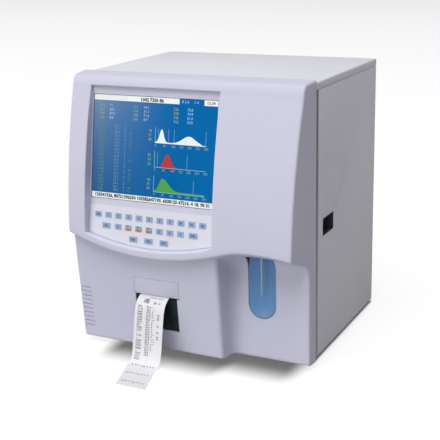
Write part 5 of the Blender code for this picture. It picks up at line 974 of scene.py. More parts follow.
# Plots: base line, colour, height of the curve along it, and where its ticks stand.
plots = (
    (0.425, PLOT_PALE, lambda x: bell(x, 0.13, 0.055, 0.125) + bell(x, 0.66, 0.17, 0.072)
     + 0.008 * (x < 0.9), (0.06, 0.26, 0.37, 0.98)),
    (0.655, PLOT_RED, lambda x: bell(x, 0.25, 0.075 if x < 0.25 else 0.10, 0.130), (0.06, 0.64)),
    (0.890, PLOT_GREEN, lambda x: bell(x, 0.17, 0.075 if x < 0.17 else 0.17, 0.118)
     + 0.014 * min(x * 20, 1), (0.0, 0.78)))
plot_left, plot_right, plot_run = across(PLOT_LEFT), across(PLOT_RIGHT), PLOT_RIGHT - PLOT_LEFT
for base, colour, height, ticks in plots:
    foot = down(base)
    samples = [height(i / PLOT_SAMPLES) * PICTURE_TALL for i in range(PLOT_SAMPLES + 1)]
    picture.curve(plot_left, plot_right, foot, samples, colour)
    picture.patch(plot_left, plot_right, foot - BASE_WIDE, foot, VALUE_PALE, 3)
    for tick in ticks:
        x = across(PLOT_LEFT + plot_run * tick)
        picture.patch(x, x + BASE_WIDE, foot, foot + PICTURE_TALL * TICK_TALL, TICK_BLUE, 1)
    picture.patch(plot_left, plot_left + AXIS_WIDE, foot, foot + PICTURE_TALL * AXIS_TALL, AXIS_GREEN, 1)
    for i in range(7):
        picture.write(str(50 * i), across(PLOT_LEFT + plot_run * i / 6.3), down(base + 0.012), 0.0050,
                      LABEL_YELLOW)
    picture.write(column_of(3, whole(10, 99)), across(PLOT_LEFT - 0.055), down(base - 0.125), 0.0058,
                  LABEL_YELLOW, spacing=1.1)

display_picture = picture.piece("display_picture", lambda x, z, layer: screen_frame
                                @ Vector((x, -PICTURE_SKIN * (1 + layer), z)))
lit = Finish("lit_picture", LIT_BASE, 0.45, Emission_Strength=0.86, Specular_IOR_Level=0.03)
paint = lit.painted()
cells = (lit.along(0) * CELLS_PER_METRE).part().step(0.0, 0.2)
lit.put("Emission Color", paint)
lit.put("Base Color", lit.blended(cells * 0.1 + 0.15, nothing, paint))
display_picture.data.materials.append(lit.material)
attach(display_picture, "chassis")


def surfaced(finish, *nodes):
    """Solids that keep their own shape and only get a surface."""
    for node in nodes:
        frame["nodes"][node].data.materials.clear()
        frame["nodes"][node].data.materials.append(finish.material)


glass = Finish("display_glass", GLASS_DARK, 0.12, spots=(30.0, 0.2), sheen=(90.0, 0.06, 0.10))
surfaced(glass, "lcd_screen")
module = Finish("pressed_frame", FRAME_STEEL, 0.34, 0.9, grain=(220.0, 0.00003, 2.0, 14.0),
                sheen=(70.0, 0.2, 0.26, 3.0, 9.0))
surfaced(module, "lcd_module")

# Membrane keypad: a printed film stuck in the recess, with 23 raised fields over metal domes. Fields are
# pale blue, three of them orange below, each with a plain mark.
KEY_PITCH, KEY_ROW_PITCH, KEY_ROW_TOP = 0.01815, 0.0167, -0.1047
KEY_WIDE, KEY_TALL, WIDE_KEY, WIDE_KEY_X, LOW_KEY_PITCH = 0.0115, 0.0088, 0.0145, 0.0757, 0.0267
TWO_MARK_KEYS = range(12, 15)
FILM_GAP, FILM_THICK, DOME_RISE = 0.0003, 0.0006, 0.0004
FIELD_FRONT = -PICTURE_BACK - FILM_GAP - FILM_THICK - DOME_RISE
FIELD_ROUND = 0.0011
FIELD_RISE, MARK_RISE = 0.00025, 0.00005
FILM_PALE = (0.70, 0.70, 0.79)
FIELD_BLUE = (0.215, 0.335, 0.545)
FIELD_ORANGE = (0.50, 0.16, 0.06)
FIELD_BROWN = (0.20, 0.07, 0.04)
MARK_INK = (0.035, 0.075, 0.19)
MARKS = "100 1 2 3 4 5 6 7 80 90 20 0 10 20 30 8 9 + 400 500 600 700 800".split()


def rounded_outline(wide_half, tall_half, radius, steps=4):
    """A rectangle with rounded corners."""
    points = []
    for cx, cz, start in ((1, -1, -90), (1, 1, 0), (-1, 1, 90), (-1, -1, 180)):
        centre = (cx * (wide_half - radius), cz * (tall_half - radius))
        points += arc(centre, radius, start, start + 90, steps)
    return points


middle_row = KEY_ROW_TOP - KEY_ROW_PITCH
low_row = middle_row - KEY_ROW_PITCH
key_places = [(KEY_PITCH * (i - 5), KEY_ROW_TOP, KEY_WIDE) for i in range(11)]
key_places += [(KEY_PITCH * (i - 3), middle_row, KEY_WIDE) for i in range(7)]
key_places += [(side * WIDE_KEY_X, middle_row, WIDE_KEY) for side in (-1, 1)]
key_places += [(LOW_KEY_PITCH * (i - 1), low_row, WIDE_KEY) for i in range(3)]

fields = Picture()
for i, (x, z, width) in enumerate(key_places):
    outline = rounded_outline(width / 2, KEY_TALL / 2, FIELD_ROUND)
    fields.shape([(x + px, z + pz) for px, pz in outline], [tuple(range(len(outline)))], FIELD_BLUE, 0)
    if i in TWO_MARK_KEYS:
        low = [(x + px, z + pz) for px, pz in outline if pz < 0]
        low += [(x + KEY_WIDE / 2, z - KEY_TALL * 0.04), (x - KEY_WIDE / 2, z - KEY_TALL * 0.04)]
        centre = Vector((x, z - KEY_TALL * 0.25))
        low.sort(key=lambda p: math.atan2(p[1] - centre.y, p[0] - centre.x))
        fields.shape(low, [tuple(range(len(low)))], FIELD_ORANGE, 1)
    mark = MARKS[i]
    size = 0.0062 if len(mark) == 1 else 0.0050
    rise, growth = size * 0.38, 1.0
    if i in TWO_MARK_KEYS:
        fields.write(mark, x - size * 0.4, z - KEY_TALL * 0.12, size * 0.7, FIELD_BROWN, 3, weight=0.0003)
        rise, growth = KEY_TALL * 0.46, 0.66
    fields.write(mark, x - size * 0.28 * len(mark), z + rise, size * growth, MARK_INK, 2, weight=0.00028)
key_fields = fields.piece("key_fields", lambda x, z, layer: screen_frame
                          @ Vector((x, FIELD_FRONT - FIELD_RISE - MARK_RISE * layer, z)))
printed = Finish("printed_fields", FIELD_BLUE, 0.38, grain=(2400.0, 0.000012))
printed.put("Base Color", printed.blended(printed.noise(400.0) * 0.08, printed.painted(),
                                          (1.0, 1.0, 1.0)))
ready(key_fields, "chassis", printed, slot="keypad_overlay")


def rounded(made, width, steps=1, limit=30):
    """Rounds the edges that turn by more than a limit in degrees."""
    modifier = made.modifiers.new("edges", "BEVEL")
    modifier.width = width
    modifier.segments = steps
    modifier.limit_method = "ANGLE"
    modifier.angle_limit = math.radians(limit)
    return settled(made)


def dressed(node, body, finish, edge=0.0, steps=2, limit=40):
    """A solid's own shape, its loose faces merged, with rounded edges and smooth curves."""
    shape = bmesh.new()
    source = frame["nodes"][node].data.copy()
    if "custom_normal" in source.attributes:
        source.attributes.remove(source.attributes["custom_normal"])
    shape.from_mesh(source)
    bmesh.ops.remove_doubles(shape, verts=shape.verts, dist=0.000002)
    bmesh.ops.dissolve_limit(shape, angle_limit=math.radians(0.4), verts=shape.verts, edges=shape.edges)
    made = held(f"{node}_piece", shape)
    bpy.data.meshes.remove(source)
    if edge:
        rounded(made, edge, steps, limit)
    return ready(made, body, finish, node)


film = Finish("printed_film", FILM_PALE, 0.36, spots=(8.0, 0.012), grain=(2000.0, 0.00001),
              sheen=(50.0, 0.08, 0.28))
dressed("keypad_overlay", "chassis", film, edge=0.0001, steps=1)

# Circuit boards: green resist over copper tracks on glass cloth, with tinned pads and black parts. The
# keypad's board lies behind the recess, the main board stands off the partition.
BOARD_GREEN, TRACK_GREEN, PAD_TIN = (0.012, 0.13, 0.055), (0.03, 0.26, 0.09), (0.55, 0.56, 0.52)
PART_BLACK, PART_PRINT = (0.014, 0.014, 0.016), (0.2, 0.2, 0.2)
PARTS_TALL, BOARD_THICK = 0.004, 0.0018


def board_finish(name, axis_a, axis_b, face_axis, low, high):
    """Tracks and pads between two depths, black or silver parts outside them."""
    board = Finish(name, BOARD_GREEN, 0.35, sheen=(500.0, 0.2, 0.3))
    a, b = board.along(axis_a), board.along(axis_b)
    tracks = board.bands(a * 420.0 + board.noise(45.0) * 3.0, 0.34, 0.42)
    lanes = board.bands(b * 300.0 + board.noise(30.0) * 2.0, 0.36, 0.44)
    spots = board.add("ShaderNodeTexVoronoi", {"feature": "F1"}, {"Vector": board.place, "Scale": 260.0})
    pads = 1 - spots.step(0.16, 0.22)
    copper = board.blended(tracks.larger(lanes) * 0.5, board.colour, TRACK_GREEN)
    flat = board.blended(pads, copper, PAD_TIN)
    depth = board.along(face_axis)
    outside = (depth < low).larger(depth > high)
    parts = board.blended((a * 130.0).part().step(0.9, 0.95), PART_BLACK, PART_PRINT)
    board.put("Base Color", board.blended(outside, flat, parts))
    board.relief(tracks.larger(lanes) + pads, 0.00004)
    return board


board_low, board_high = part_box("main_board")
board_face = board_low.x + PARTS_TALL
surfaced(board_finish("main_board_surface", 1, 2, 0, board_face - 0.0001, board_face + BOARD_THICK),
         "main_board")
surfaced(board_finish("key_board_surface", 0, 2, 1, -9.0, 9.0), "keypad_board")

# Thermal recorder: a housing-coloured bezel, a dark tinted door that tips forward on two pins and
# carries the rubber platen, the black chassis, the head with its heat sink, and the roll on a spindle.
DARK_TINT, PALE_TINT = (0.010, 0.016, 0.020), (0.016, 0.028, 0.034)
BLACK, RUBBER, DUSTY_RUBBER = (0.010, 0.012, 0.013), (0.018, 0.018, 0.018), (0.035, 0.034, 0.033)
STEEL, SINK_GREY = (0.58, 0.59, 0.60), (0.34, 0.35, 0.36)
FINS_PER_METRE, FIN_DEPTH, FIN_GAP_PAINTED_SHADE, FIN_PALE = 450.0, 0.0004, (0.12, 0.12, 0.13), (0.42, 0.43, 0.44)
PAPER, ROLL_PAPER = (0.78, 0.78, 0.80), (0.84, 0.84, 0.84)
TURNS_PER_METRE, TURN_SHADE = 9000.0, (0.45, 0.45, 0.45)
tinted = Finish("tinted_door", DARK_TINT, 0.25, spots=(20.0, PALE_TINT), grain=(30.0, 0.00002),
                sheen=(70.0, 0.10, 0.20), Specular_IOR_Level=0.12)
dressed("recorder_door", "recorder_hatch", tinted, edge=0.0003)
dressed("recorder_bezel", "chassis", moulded, edge=0.0003)
black = Finish("black_moulding", BLACK, 0.48, spots=(40.0, 0.25), grain=(1300.0, 0.00003, 3.0),
               sheen=(90.0, 0.14, 0.40), Specular_IOR_Level=0.3)
rubber = Finish("black_rubber", RUBBER, 0.82, spots=(60.0, DUSTY_RUBBER), grain=(900.0, 0.00006, 4.0),
                sheen=(200.0, 0.2, 0.70))
surfaced(black, "recorder_chassis")
dressed("platen_roller", "platen", rubber)
brushed = Finish("brushed_steel", STEEL, 0.3, 0.95, spots=(25.0, 0.12), grain=(300.0, 0.00002, 3.0, 18.0),
                 sheen=(120.0, 0.22, 0.22, 3.0, 12.0))
head_grey = Finish("head_heat_sink", SINK_GREY, 0.4, 0.85, sheen=(200.0, 0.2, 0.32))
# The fins are bands with bumps: paler on the fins, with the gaps between them painted dark as shade.
fins = head_grey.bands(head_grey.along(0) * FINS_PER_METRE, 0.2, 0.3)
head_grey.relief(fins, FIN_DEPTH)
head_grey.put("Base Color", head_grey.blended(fins, FIN_GAP_PAINTED_SHADE, FIN_PALE))
surfaced(head_grey, "print_head")
dressed("roll_spindle", "chassis", brushed)
paper = Finish("thermal_paper", PAPER, 0.55, spots=(120.0, 0.03), grain=(1800.0, 0.000015, 4.0),
               sheen=(200.0, 0.12, 0.5))
wound = Finish("wound_paper", ROLL_PAPER, 0.6, sheen=(300.0, 0.15, 0.55))
roll_low, roll_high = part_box("paper_roll")
roll_y, roll_z = (roll_low.y + roll_high.y) / 2, (roll_low.z + roll_high.z) / 2
off_y, off_z = wound.along(1) - roll_y, wound.along(2) - roll_z
turns = ((off_y * off_y + off_z * off_z) ** 0.5 * TURNS_PER_METRE).part()
wound.put("Base Color", wound.blended(turns * 0.16, wound.colour, TURN_SHADE))
wound.relief(turns, 0.00003)
dressed("paper_roll", "roll", wound)

# Printed strip: 51 mm of thermal paper out of the slit between bezel and door, down to the bench and
# forward along it, printed with plain columns of figures and rows of dots, and torn at its end.
STRIP_END, STRIP_LAND, STRIP_DRIFT = -0.171, -0.1082, 0.018
STRIP_LIFT, STRIP_THICK = 0.0003, 0.00012
CURL_RISE, CURL_START, CURL_END = 0.0012, (0.012, 0.03), (0.150, 0.05)
STRIP_INSIDE = 0.0028
STRIP_WIDE, STRIP_OFFSET = 0.0512, 0.0039
STRIP_LEFT = RECORDER_X - STRIP_OFFSET - STRIP_WIDE / 2
STRIP_COLUMNS, STRIP_ROWS = 16, 110
TORN_STEP = 0.0007
PRINT_INK, INK_DARK, INK_FAINT = (0.10, 0.10, 0.12), (0.06, 0.06, 0.07), (0.22, 0.22, 0.25)
DOT_ROWS, DOT_COUNT, DOT_X, DOT_PITCH = (0.117, 0.143, 0.170), 8, 0.0055, 0.0052
DOT_WIDE, DOT_MORE, DOT_TALL = 0.0022, 0.0006, 0.0021
DROP_SHARES = ((0.091, 0.990), (0.209, 0.956), (0.298, 0.909), (0.355, 0.859), (0.404, 0.780), (0.436, 0.691),
               (0.503, 0.523), (0.569, 0.335), (0.626, 0.201), (0.683, 0.107), (0.759, 0.043), (0.863, 0.010))

slit = (recorder_frame @ Vector((0, STRIP_INSIDE, HATCH_TOP + SLIT / 2)))
slit_y, slit_z = slit.y - CASE_Y, slit.z
line = [Vector((slit_y, slit_z))]
line += [Vector((slit_y + (STRIP_LAND - slit_y) * run, STRIP_LIFT + (slit_z - STRIP_LIFT) * drop))
         for run, drop in DROP_SHARES]
line += [Vector((STRIP_LAND + (STRIP_END - STRIP_LAND) * i / 6, STRIP_LIFT)) for i in range(7)]
fall = smooth_line(line, 5)
fall_length = [0.0]
for one, two in zip(fall, fall[1:]):
    fall_length.append(fall_length[-1] + (two - one).length)


def strip_spot(x, run, lift):
    """A point of the strip: x across it, run along it from the slit, lift off its face."""
    run = min(max(run, 0.0), fall_length[-1])
    i = next(k for k in range(1, len(fall)) if fall_length[k] >= run)
    share = (run - fall_length[i - 1]) / (fall_length[i] - fall_length[i - 1])
    here = fall[i - 1].lerp(fall[i], share)
    along = (fall[i] - fall[i - 1]).normalized()
    normal = Vector((along.y, -along.x))
    if normal.y < 0:
        normal = -normal
    drift = STRIP_DRIFT * max((STRIP_LAND - here.x) / (STRIP_LAND - STRIP_END), 0.0)
    side = (x / STRIP_WIDE - 0.5) * 2
    curl = CURL_RISE * side * side * min(max((run - CURL_START[0]) / CURL_START[1], 0.0), 1.0)
    curl *= min(max((CURL_END[0] - run) / CURL_END[1], 0.0), 1.0)
    place = here + normal * (lift + curl)
    return Vector((STRIP_LEFT + x + drift, place.x + CASE_Y, max(place.y, STRIP_LIFT)))


strip_shape = bmesh.new()
rows = []
for row in range(STRIP_ROWS + 1):
    verts = []
    for column in range(STRIP_COLUMNS + 1):
        run = fall_length[-1] * row / STRIP_ROWS
        if row == STRIP_ROWS:
            run -= TORN_STEP * ((column * 7) % 3)
        verts.append(strip_shape.verts.new(strip_spot(STRIP_WIDE * column / STRIP_COLUMNS, run, 0.0)))
    rows.append(verts)
for one, two in zip(rows, rows[1:]):
    for column in range(STRIP_COLUMNS):
        strip_shape.faces.new((one[column], two[column], two[column + 1], one[column + 1]))
bmesh.ops.recalc_face_normals(strip_shape, faces=strip_shape.faces)
strip = held("printed_strip", strip_shape)
thick = strip.modifiers.new("thickness", "SOLIDIFY")
thick.thickness = STRIP_THICK
thick.offset = 0.0
settled(strip)
ready(strip, "chassis", paper, "paper_strip")
strip.parent = None
del strip["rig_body"]

# Printed columns: how far across and along, height of the digits, how many lines, and what they hold.
# Then the single lines above them: spacing and weight come last.
print_out = Picture()
for x, top, size, count, form in (
        (0.0045, 0.022, 0.0046, 21, whole(10, 9999, 0.8, "--")), (0.0200, 0.022, 0.0044, 20, decimal),
        (0.0300, 0.022, 0.0042, 19, whole(1, 9, 0.75, "-----")),
        (0.0400, 0.026, 0.0038, 14, whole(10, 99, 0.4))):
    print_out.write(column_of(count, form), x, -top, size, PRINT_INK, 0, spacing=0.90, weight=0.00012)
for text, x, top, size, spacing, weight in (
        ("1 2 3 4 5 6 7 8 9 0", 0.018, 0.0060, 0.0034, 1.0, 0.0001),
        ("1052\n7742", 0.012, 0.0105, 0.0048, 0.8, 0.0003), ("38   4", 0.030, 0.0145, 0.0048, 1.0, 0.0002)):
    print_out.write(text, x, -top, size, PRINT_INK, 0, spacing, weight)
for run in DOT_ROWS:
    for i in range(DOT_COUNT):
        x = DOT_X + DOT_PITCH * i
        print_out.patch(x, x + DOT_WIDE + DOT_MORE * (i % 2), -run - DOT_TALL, -run, PRINT_INK, 0)
        if i % 4 == 0:
            print_out.patch(x + 0.001, x + 0.0024, -run - 0.0050, -run - 0.0034, PRINT_INK, 0)
printout = print_out.piece("printout_ink", lambda x, z, layer: strip_spot(x, -z, STRIP_THICK))
ink = Finish("thermal_print", PRINT_INK, 0.6, grain=(1500.0, 0.00001))
ink.put("Base Color", ink.blended(ink.noise(900.0), INK_DARK, INK_FAINT))
printout.data.materials.append(ink.material)
for piece in (strip, printout):
    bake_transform(piece)

# Aspirate key: one pale blue moulding with a long finger dish. It stands in the cover's slot and is
# pressed straight back on its round stem against a switch.
KEY_FRONT, KEY_THICK, KEY_TOP = -0.0204, 0.009, 0.185
KEY_EDGE, KEY_ROUND = 0.0005, 0.0006
STEM_RADIUS, STEM_LONG, STEM_OUT = 0.003, 0.009, 0.0015
DISH_DEPTH, DISH_RADIUS = 0.0045, 0.045
KEY_BLUE = (0.135, 0.305, 0.575)
key_shape = pushed(slot_outline(KEY_SLOT_HALF - KEY_EDGE, KEY_TOP, 48), KEY_FRONT, KEY_FRONT + KEY_THICK,
                   case_shift)
aspirate = rounded(held("aspirate_key_piece", key_shape), KEY_ROUND, 3)


def rod(radius, long, segments, place):
    """A round bar along z."""
    shape = bmesh.new()
    bmesh.ops.create_cone(shape, cap_ends=True, segments=segments, radius1=radius, radius2=radius,
                          depth=long, matrix=place)
    return shape


dish = bmesh.new()
bmesh.ops.create_uvsphere(dish, u_segments=128, v_segments=96, radius=DISH_RADIUS)
dish_y = KEY_FRONT - DISH_RADIUS + DISH_DEPTH + CASE_Y
bmesh.ops.translate(dish, verts=dish.verts, vec=(KEY_X, dish_y, key_centre))
reach_up = KEY_SLOT_TOP - key_centre
trough = rod(DISH_RADIUS, reach_up, 128, Matrix.Translation((KEY_X, dish_y, key_centre + reach_up / 2)))
stem_y = KEY_FRONT + KEY_THICK + STEM_OUT + CASE_Y
stem = rod(STEM_RADIUS, STEM_LONG, 32, Matrix.Translation((KEY_X, stem_y, key_centre))
           @ Matrix.Rotation(math.radians(90), 4, "X"))
carved(aspirate, [held("dish", dish), held("trough", trough)])
carved(aspirate, [held("stem", stem)], "UNION")
satin_blue = Finish("satin_blue", KEY_BLUE, 0.40, spots=(12.0, 0.05), grain=(1500.0, 0.000015),
                    sheen=(60.0, 0.08, 0.30), Specular_IOR_Level=0.3)
ready(aspirate, "aspirate_key_body", satin_blue, "aspirate_key", crease=30)
surfaced(black, "key_switch")

# Sheet metal body: folded and powder-coated steel. The front plate's edge in the groove beside the door
# is coloured as a dark strip, darker towards the top: painted shade of the groove. The door hangs on two
# pins at its rear edge.
PAINT = (0.73, 0.735, 0.805)
ZINC, ZINC_BLOOM = (0.56, 0.57, 0.58), (0.46, 0.47, 0.50)
GROOVE_SHADE_LIGHT, GROOVE_SHADE_DEEP, GROOVE_SHADE_DEEPENS = (0.30, 0.305, 0.34), (0.09, 0.09, 0.10), (0.10, 0.32)
coated = Finish("powder_coat", PAINT, 0.5, spots=(4.0, 0.02), grain=(900.0, 0.00004, 3.0),
                sheen=(40.0, 0.12, 0.46), edge=0.0006, Specular_IOR_Level=0.25)
# Painted shade: the plate in the groove takes a dark colour, deepening towards the top, for the shade that
# falls in the groove.
groove_painted_shade = Finish("plate_in_groove", GROOVE_SHADE_LIGHT, 0.5, grain=(900.0, 0.00004, 3.0), sheen=(40.0, 0.12, 0.42))
groove_painted_shade.put("Base Color", groove_painted_shade.blended(groove_painted_shade.along(2).step(*GROOVE_SHADE_DEEPENS),
                                            groove_painted_shade.mottled(6.0, 0.05), GROOVE_SHADE_DEEP))
dressed("top_cover", "chassis", coated, edge=0.0004, limit=50)
dressed("right_door", "side_door", coated, edge=0.0004, limit=50)
surfaced(coated, "left_panel", "rear_panel", "base_tray", "partition_plate", "syringe_frame")
surfaced(groove_painted_shade, "front_plate")
zinc = Finish("zinc_plate", ZINC, 0.34, 0.9, spots=(70.0, ZINC_BLOOM), grain=(400.0, 0.00003, 3.0),
              sheen=(150.0, 0.2, 0.26))
surfaced(zinc, "hinge_post")
dressed("door_pull", "side_door", black, edge=0.0003)
surfaced(black, "door_magnet")

# Screws: zinc-plated pan heads with a cross recess. They hold the rear panel to the folded body, the
# ports, inlet and fan to the panel, the main board to its standoffs and the syringe frame to its plate.
HEAD_RADIUS, HEAD_TALL = 0.0029, 0.0018
CROSS_LONG, CROSS_WIDE, CROSS_DEEP = 0.0034, 0.0007, 0.0011
FAN_MIDDLE, FAN_PITCH = Vector((-0.0600, 0.3000)), 0.03575
PANEL_SCREWS = ((-0.187, 0.034), (-0.066, 0.034), (0.060, 0.034), (0.172, 0.034), (-0.187, 0.155),
                (-0.187, 0.285), (0.172, 0.155), (0.172, 0.285), (-0.187, 0.412), (-0.066, 0.412),
                (0.060, 0.412), (0.172, 0.412))
PORT_SCREWS = ((-0.0612, 0.1538), (-0.0612, 0.1862), (0.0212, 0.1538), (0.0212, 0.1862))
INLET_SCREWS = ((-0.1530, 0.0620), (-0.0830, 0.0620))
BOARD_SCREWS = ((-0.0164, 0.1130), (-0.0164, 0.3170), (0.1677, 0.1130), (0.1677, 0.3170))
FAR_BEHIND, FAR_BESIDE = 0.3, 0.1
FRAME_SCREWS = ((0.0690, 0.1850), (0.0690, 0.3050), (0.1225, 0.1850), (0.1225, 0.3050))


def screw_head():
    """A pan head with its foot at the origin, standing up along z."""
    rim = [(HEAD_RADIUS, 0.0), (HEAD_RADIUS, HEAD_TALL * 0.35)]
    dome = [(HEAD_RADIUS * math.cos(math.radians(a)), HEAD_TALL * (0.35 + 0.65 * math.sin(math.radians(a))))
            for a in (20, 40, 60, 75)]
    head = held("screw_head", lathed([(0.0, 0.0), *rim, *dome, (0.0, HEAD_TALL)], 20))
    cuts = [held("cross", bar((-a / 2, -b / 2, HEAD_TALL - CROSS_DEEP), (a / 2, b / 2, HEAD_TALL + 0.001)))
            for a, b in ((CROSS_LONG, CROSS_WIDE), (CROSS_WIDE, CROSS_LONG))]
    return carved(head, cuts)


def seated(node, start, direction):
    """Where a straight line first meets a node."""
    met, place, _, _ = frame["nodes"][node].ray_cast(Vector(start), Vector(direction))
    assert met, (node, start)
    return place


behind = (0, -1, 0)
fan_screws = [(FAN_MIDDLE.x + side * FAN_PITCH, FAN_MIDDLE.y + rise * FAN_PITCH)
              for side in (-1, 1) for rise in (-1, 1)]
spots = [seated(node, (x, FAR_BEHIND, z), behind)
         for node, screws in (("rear_panel", PANEL_SCREWS), ("rear_panel", fan_screws),
                              ("rear_ports", PORT_SCREWS), ("mains_inlet", INLET_SCREWS))
         for x, z in screws]
spins = random.Random(11)
repeated("rear_screws", screw_head(),
         [(spot, (math.radians(-90), spins.uniform(0, 3), 0), (1, 1, 1)) for spot in spots],
         "chassis", zinc, "rear_panel")
for screws_name, node, screws, start, inward in (
        ("board_screws", "main_board", BOARD_SCREWS, -FAR_BESIDE, 1),
        ("frame_screws", "syringe_frame", FRAME_SCREWS, 2 * FAR_BESIDE, -1)):
    repeated(screws_name, screw_head(),
             [(seated(node, (start, y, z), (inward, 0, 0)), (0, math.radians(-90 * inward), 0), (1, 1, 1))
              for y, z in screws], "chassis", zinc, node)

# Door seal: a strip of pale grey foam stuck along the door's top flange. It closes most of the gap under
# the folded edge of the top cover and swings out with the door.
SEAL_WIDE, SEAL_SETBACK, SEAL_TALL = 0.0050, 0.0006, 0.0008
SEAL_START, SEAL_END = 0.0016, 0.0120
FLANGE_TOP = 0.4245
FOAM_GREY = (0.66, 0.66, 0.71)
door_low, door_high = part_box("right_door")
seal_edge = door_high.x - SEAL_SETBACK
door_seal = held("door_seal", bar((seal_edge - SEAL_WIDE, door_low.y + SEAL_START, FLANGE_TOP),
                                  (seal_edge, door_high.y - SEAL_END, FLANGE_TOP + SEAL_TALL)))
foam = Finish("foam_strip", FOAM_GREY, 0.9, spots=(200.0, 0.15), grain=(2500.0, 0.00006, 3.0),
              sheen=(500.0, 0.1, 0.84))
ready(door_seal, "side_door", foam, slot="right_door")

# Rating label: a silver polyester sticker on the rear panel over the mains inlet, printed with plain
# values of the supply.
LABEL_X, LABEL_Z, LABEL_WIDE, LABEL_TALL = -0.118, 0.100, 0.062, 0.026
LABEL_THICK, LABEL_INK_RISE = 0.00012, 0.00004
LABEL_MARGIN, LABEL_LINE, LABEL_RULE, LABEL_DIGITS = 0.003, 0.002, 0.0004, 0.0052
LABEL_SILVER, LABEL_SHINE, LABEL_INK = (0.52, 0.53, 0.54), (0.9, 0.9, 0.9), (0.02, 0.02, 0.02)
rear_y = seated("rear_panel", (LABEL_X, FAR_BEHIND, LABEL_Z), behind).y
sticker = Picture()
label_side, label_top = LABEL_WIDE / 2, LABEL_TALL / 2
sticker.patch(-label_side, label_side, -label_top, label_top, LABEL_SILVER, 0)
sticker.write("100-240 V~  50/60 Hz\n200 VA\n10-30 C   30-85 %", LABEL_MARGIN - label_side,
              label_top - LABEL_MARGIN, LABEL_DIGITS, LABEL_INK, 1, spacing=1.2)
sticker.patch(LABEL_LINE - label_side, label_side - LABEL_LINE, LABEL_LINE - label_top,
              LABEL_LINE + LABEL_RULE - label_top, LABEL_INK, 1)
rating_label = sticker.piece("rating_label", lambda x, z, layer: Vector(
    (LABEL_X - x, rear_y + LABEL_THICK + LABEL_INK_RISE * layer, LABEL_Z + z)))
polyester = Finish("label_polyester", LABEL_SILVER, 0.35, sheen=(200.0, 0.15, 0.28))
polyester.put("Base Color", polyester.blended(polyester.noise(300.0) * 0.1, polyester.painted(),
                                              LABEL_SHINE))
ready(rating_label, "chassis", polyester, slot="rear_panel")

# Small parts of the main board: soldered chip resistors and tan ceramic capacitors, laid out from a
# fixed seed wherever the board's face is bare.
PART_ROWS, PART_LANES, PART_SHARE = 26, 22, 0.42
PART_MARGIN, PART_REACH = 0.009, 0.0026
CHIP_LONG, CHIP_WIDE, CHIP_TALL = 0.0032, 0.0016, 0.0008
CHIP_BLACK, CHIP_GREY, CERAMIC_TAN = (0.016, 0.016, 0.018), (0.10, 0.10, 0.10), (0.42, 0.27, 0.14)
board_x = seated("main_board", (-FAR_BESIDE, BOARD_SCREWS[0][0], 0.160), (1, 0, 0)).x


def bare(y, z, reach):
    """True where the board's flat face shows under the whole of a part."""
    corners = [seated("main_board", (-FAR_BESIDE, y + a * reach, z + b * reach), (1, 0, 0)).x
               for a in (-1, 1) for b in (-1, 1)]
    return max(abs(x - board_x) for x in corners) < 0.0001


def small_part(name, tall, edge):
    """A bevelled block with its foot at the origin, standing up along z."""
    block = bar((-CHIP_LONG / 2, -CHIP_WIDE / 2, 0), (CHIP_LONG / 2, CHIP_WIDE / 2, tall))
    return rounded(held(name, block), edge)


layout = random.Random(23)
parts_y, parts_z = board_low.y + PART_MARGIN, board_low.z + PART_MARGIN
parts_wide = board_high.y - board_low.y - 2 * PART_MARGIN
parts_tall = board_high.z - board_low.z - 2 * PART_MARGIN
chips, caps = [], []
for row in range(PART_ROWS):
    for lane in range(PART_LANES):
        y = parts_y + parts_wide * (lane + layout.uniform(0.2, 0.8)) / PART_LANES
        z = parts_z + parts_tall * (row + layout.uniform(0.3, 0.7)) / PART_ROWS
        if layout.random() < PART_SHARE and bare(y, z, PART_REACH):
            spin = layout.choice((0.0, math.radians(90)))
            kind = chips if layout.random() < 0.6 else caps
            kind.append(((board_x, y, z), (spin, math.radians(-90), 0), (1, 1, 1)))
resistor = Finish("chip_resistor", CHIP_BLACK, 0.4, spots=(300.0, CHIP_GREY), sheen=(600.0, 0.2, 0.3))
ceramic = Finish("chip_capacitor", CERAMIC_TAN, 0.45, spots=(300.0, 0.2), sheen=(600.0, 0.2, 0.35))
repeated("board_resistors", small_part("resistor", CHIP_TALL, 0.00012), chips, "chassis", resistor,
         "main_board")
repeated("board_capacitors", small_part("capacitor", CHIP_TALL * 1.6, 0.00015), caps, "chassis", ceramic,
         "main_board")

# Probe lift: a polished needle in a white acetal carriage on a ground rail, a toothed belt round two
# aluminium pulleys, and a clear block that rinses the needle.
NEEDLE_STEEL, ACETAL, ACRYLIC = (0.34, 0.39, 0.43), (0.78, 0.79, 0.78), (0.80, 0.86, 0.88)
MOTOR_BLACK, PLATE_PALE, PLATES_PER_METRE = (0.05, 0.052, 0.055), (0.22, 0.22, 0.23), 1400.0
BELT_BLACK, BELT_WORN = (0.020, 0.020, 0.021), (0.04, 0.04, 0.04)
BELT_PITCH, BELT_THICK, BELT_ROUND = 0.002, 0.0012, 0.0115
TOOTH_TALL, TOOTH_WIDE, TOOTH_LONG, TOOTH_SUNK = 0.0006, 0.0010, 0.0054, 0.0001
polished = Finish("polished_needle", NEEDLE_STEEL, 0.4, 0.85, spots=(200.0, 0.08),
                  sheen=(300.0, 0.1, 0.36, 2.0, 0.05))
acetal = Finish("white_acetal", ACETAL, 0.4, spots=(50.0, 0.04), grain=(700.0, 0.00002, 3.0, 5.0),
                sheen=(90.0, 0.1, 0.36))
clear = Finish("clear_acrylic", ACRYLIC, 0.12, spots=(40.0, 0.05), sheen=(120.0, 0.12, 0.07),
               Transmission_Weight=0.55, IOR=1.49)
motor_black = Finish("motor_case", MOTOR_BLACK, 0.42, 0.3, sheen=(150.0, 0.2, 0.34))
plates = (motor_black.along(2) * PLATES_PER_METRE).part().step(0.2, 0.4)
motor_black.put("Base Color", motor_black.blended(plates * 0.6, motor_black.colour, PLATE_PALE))
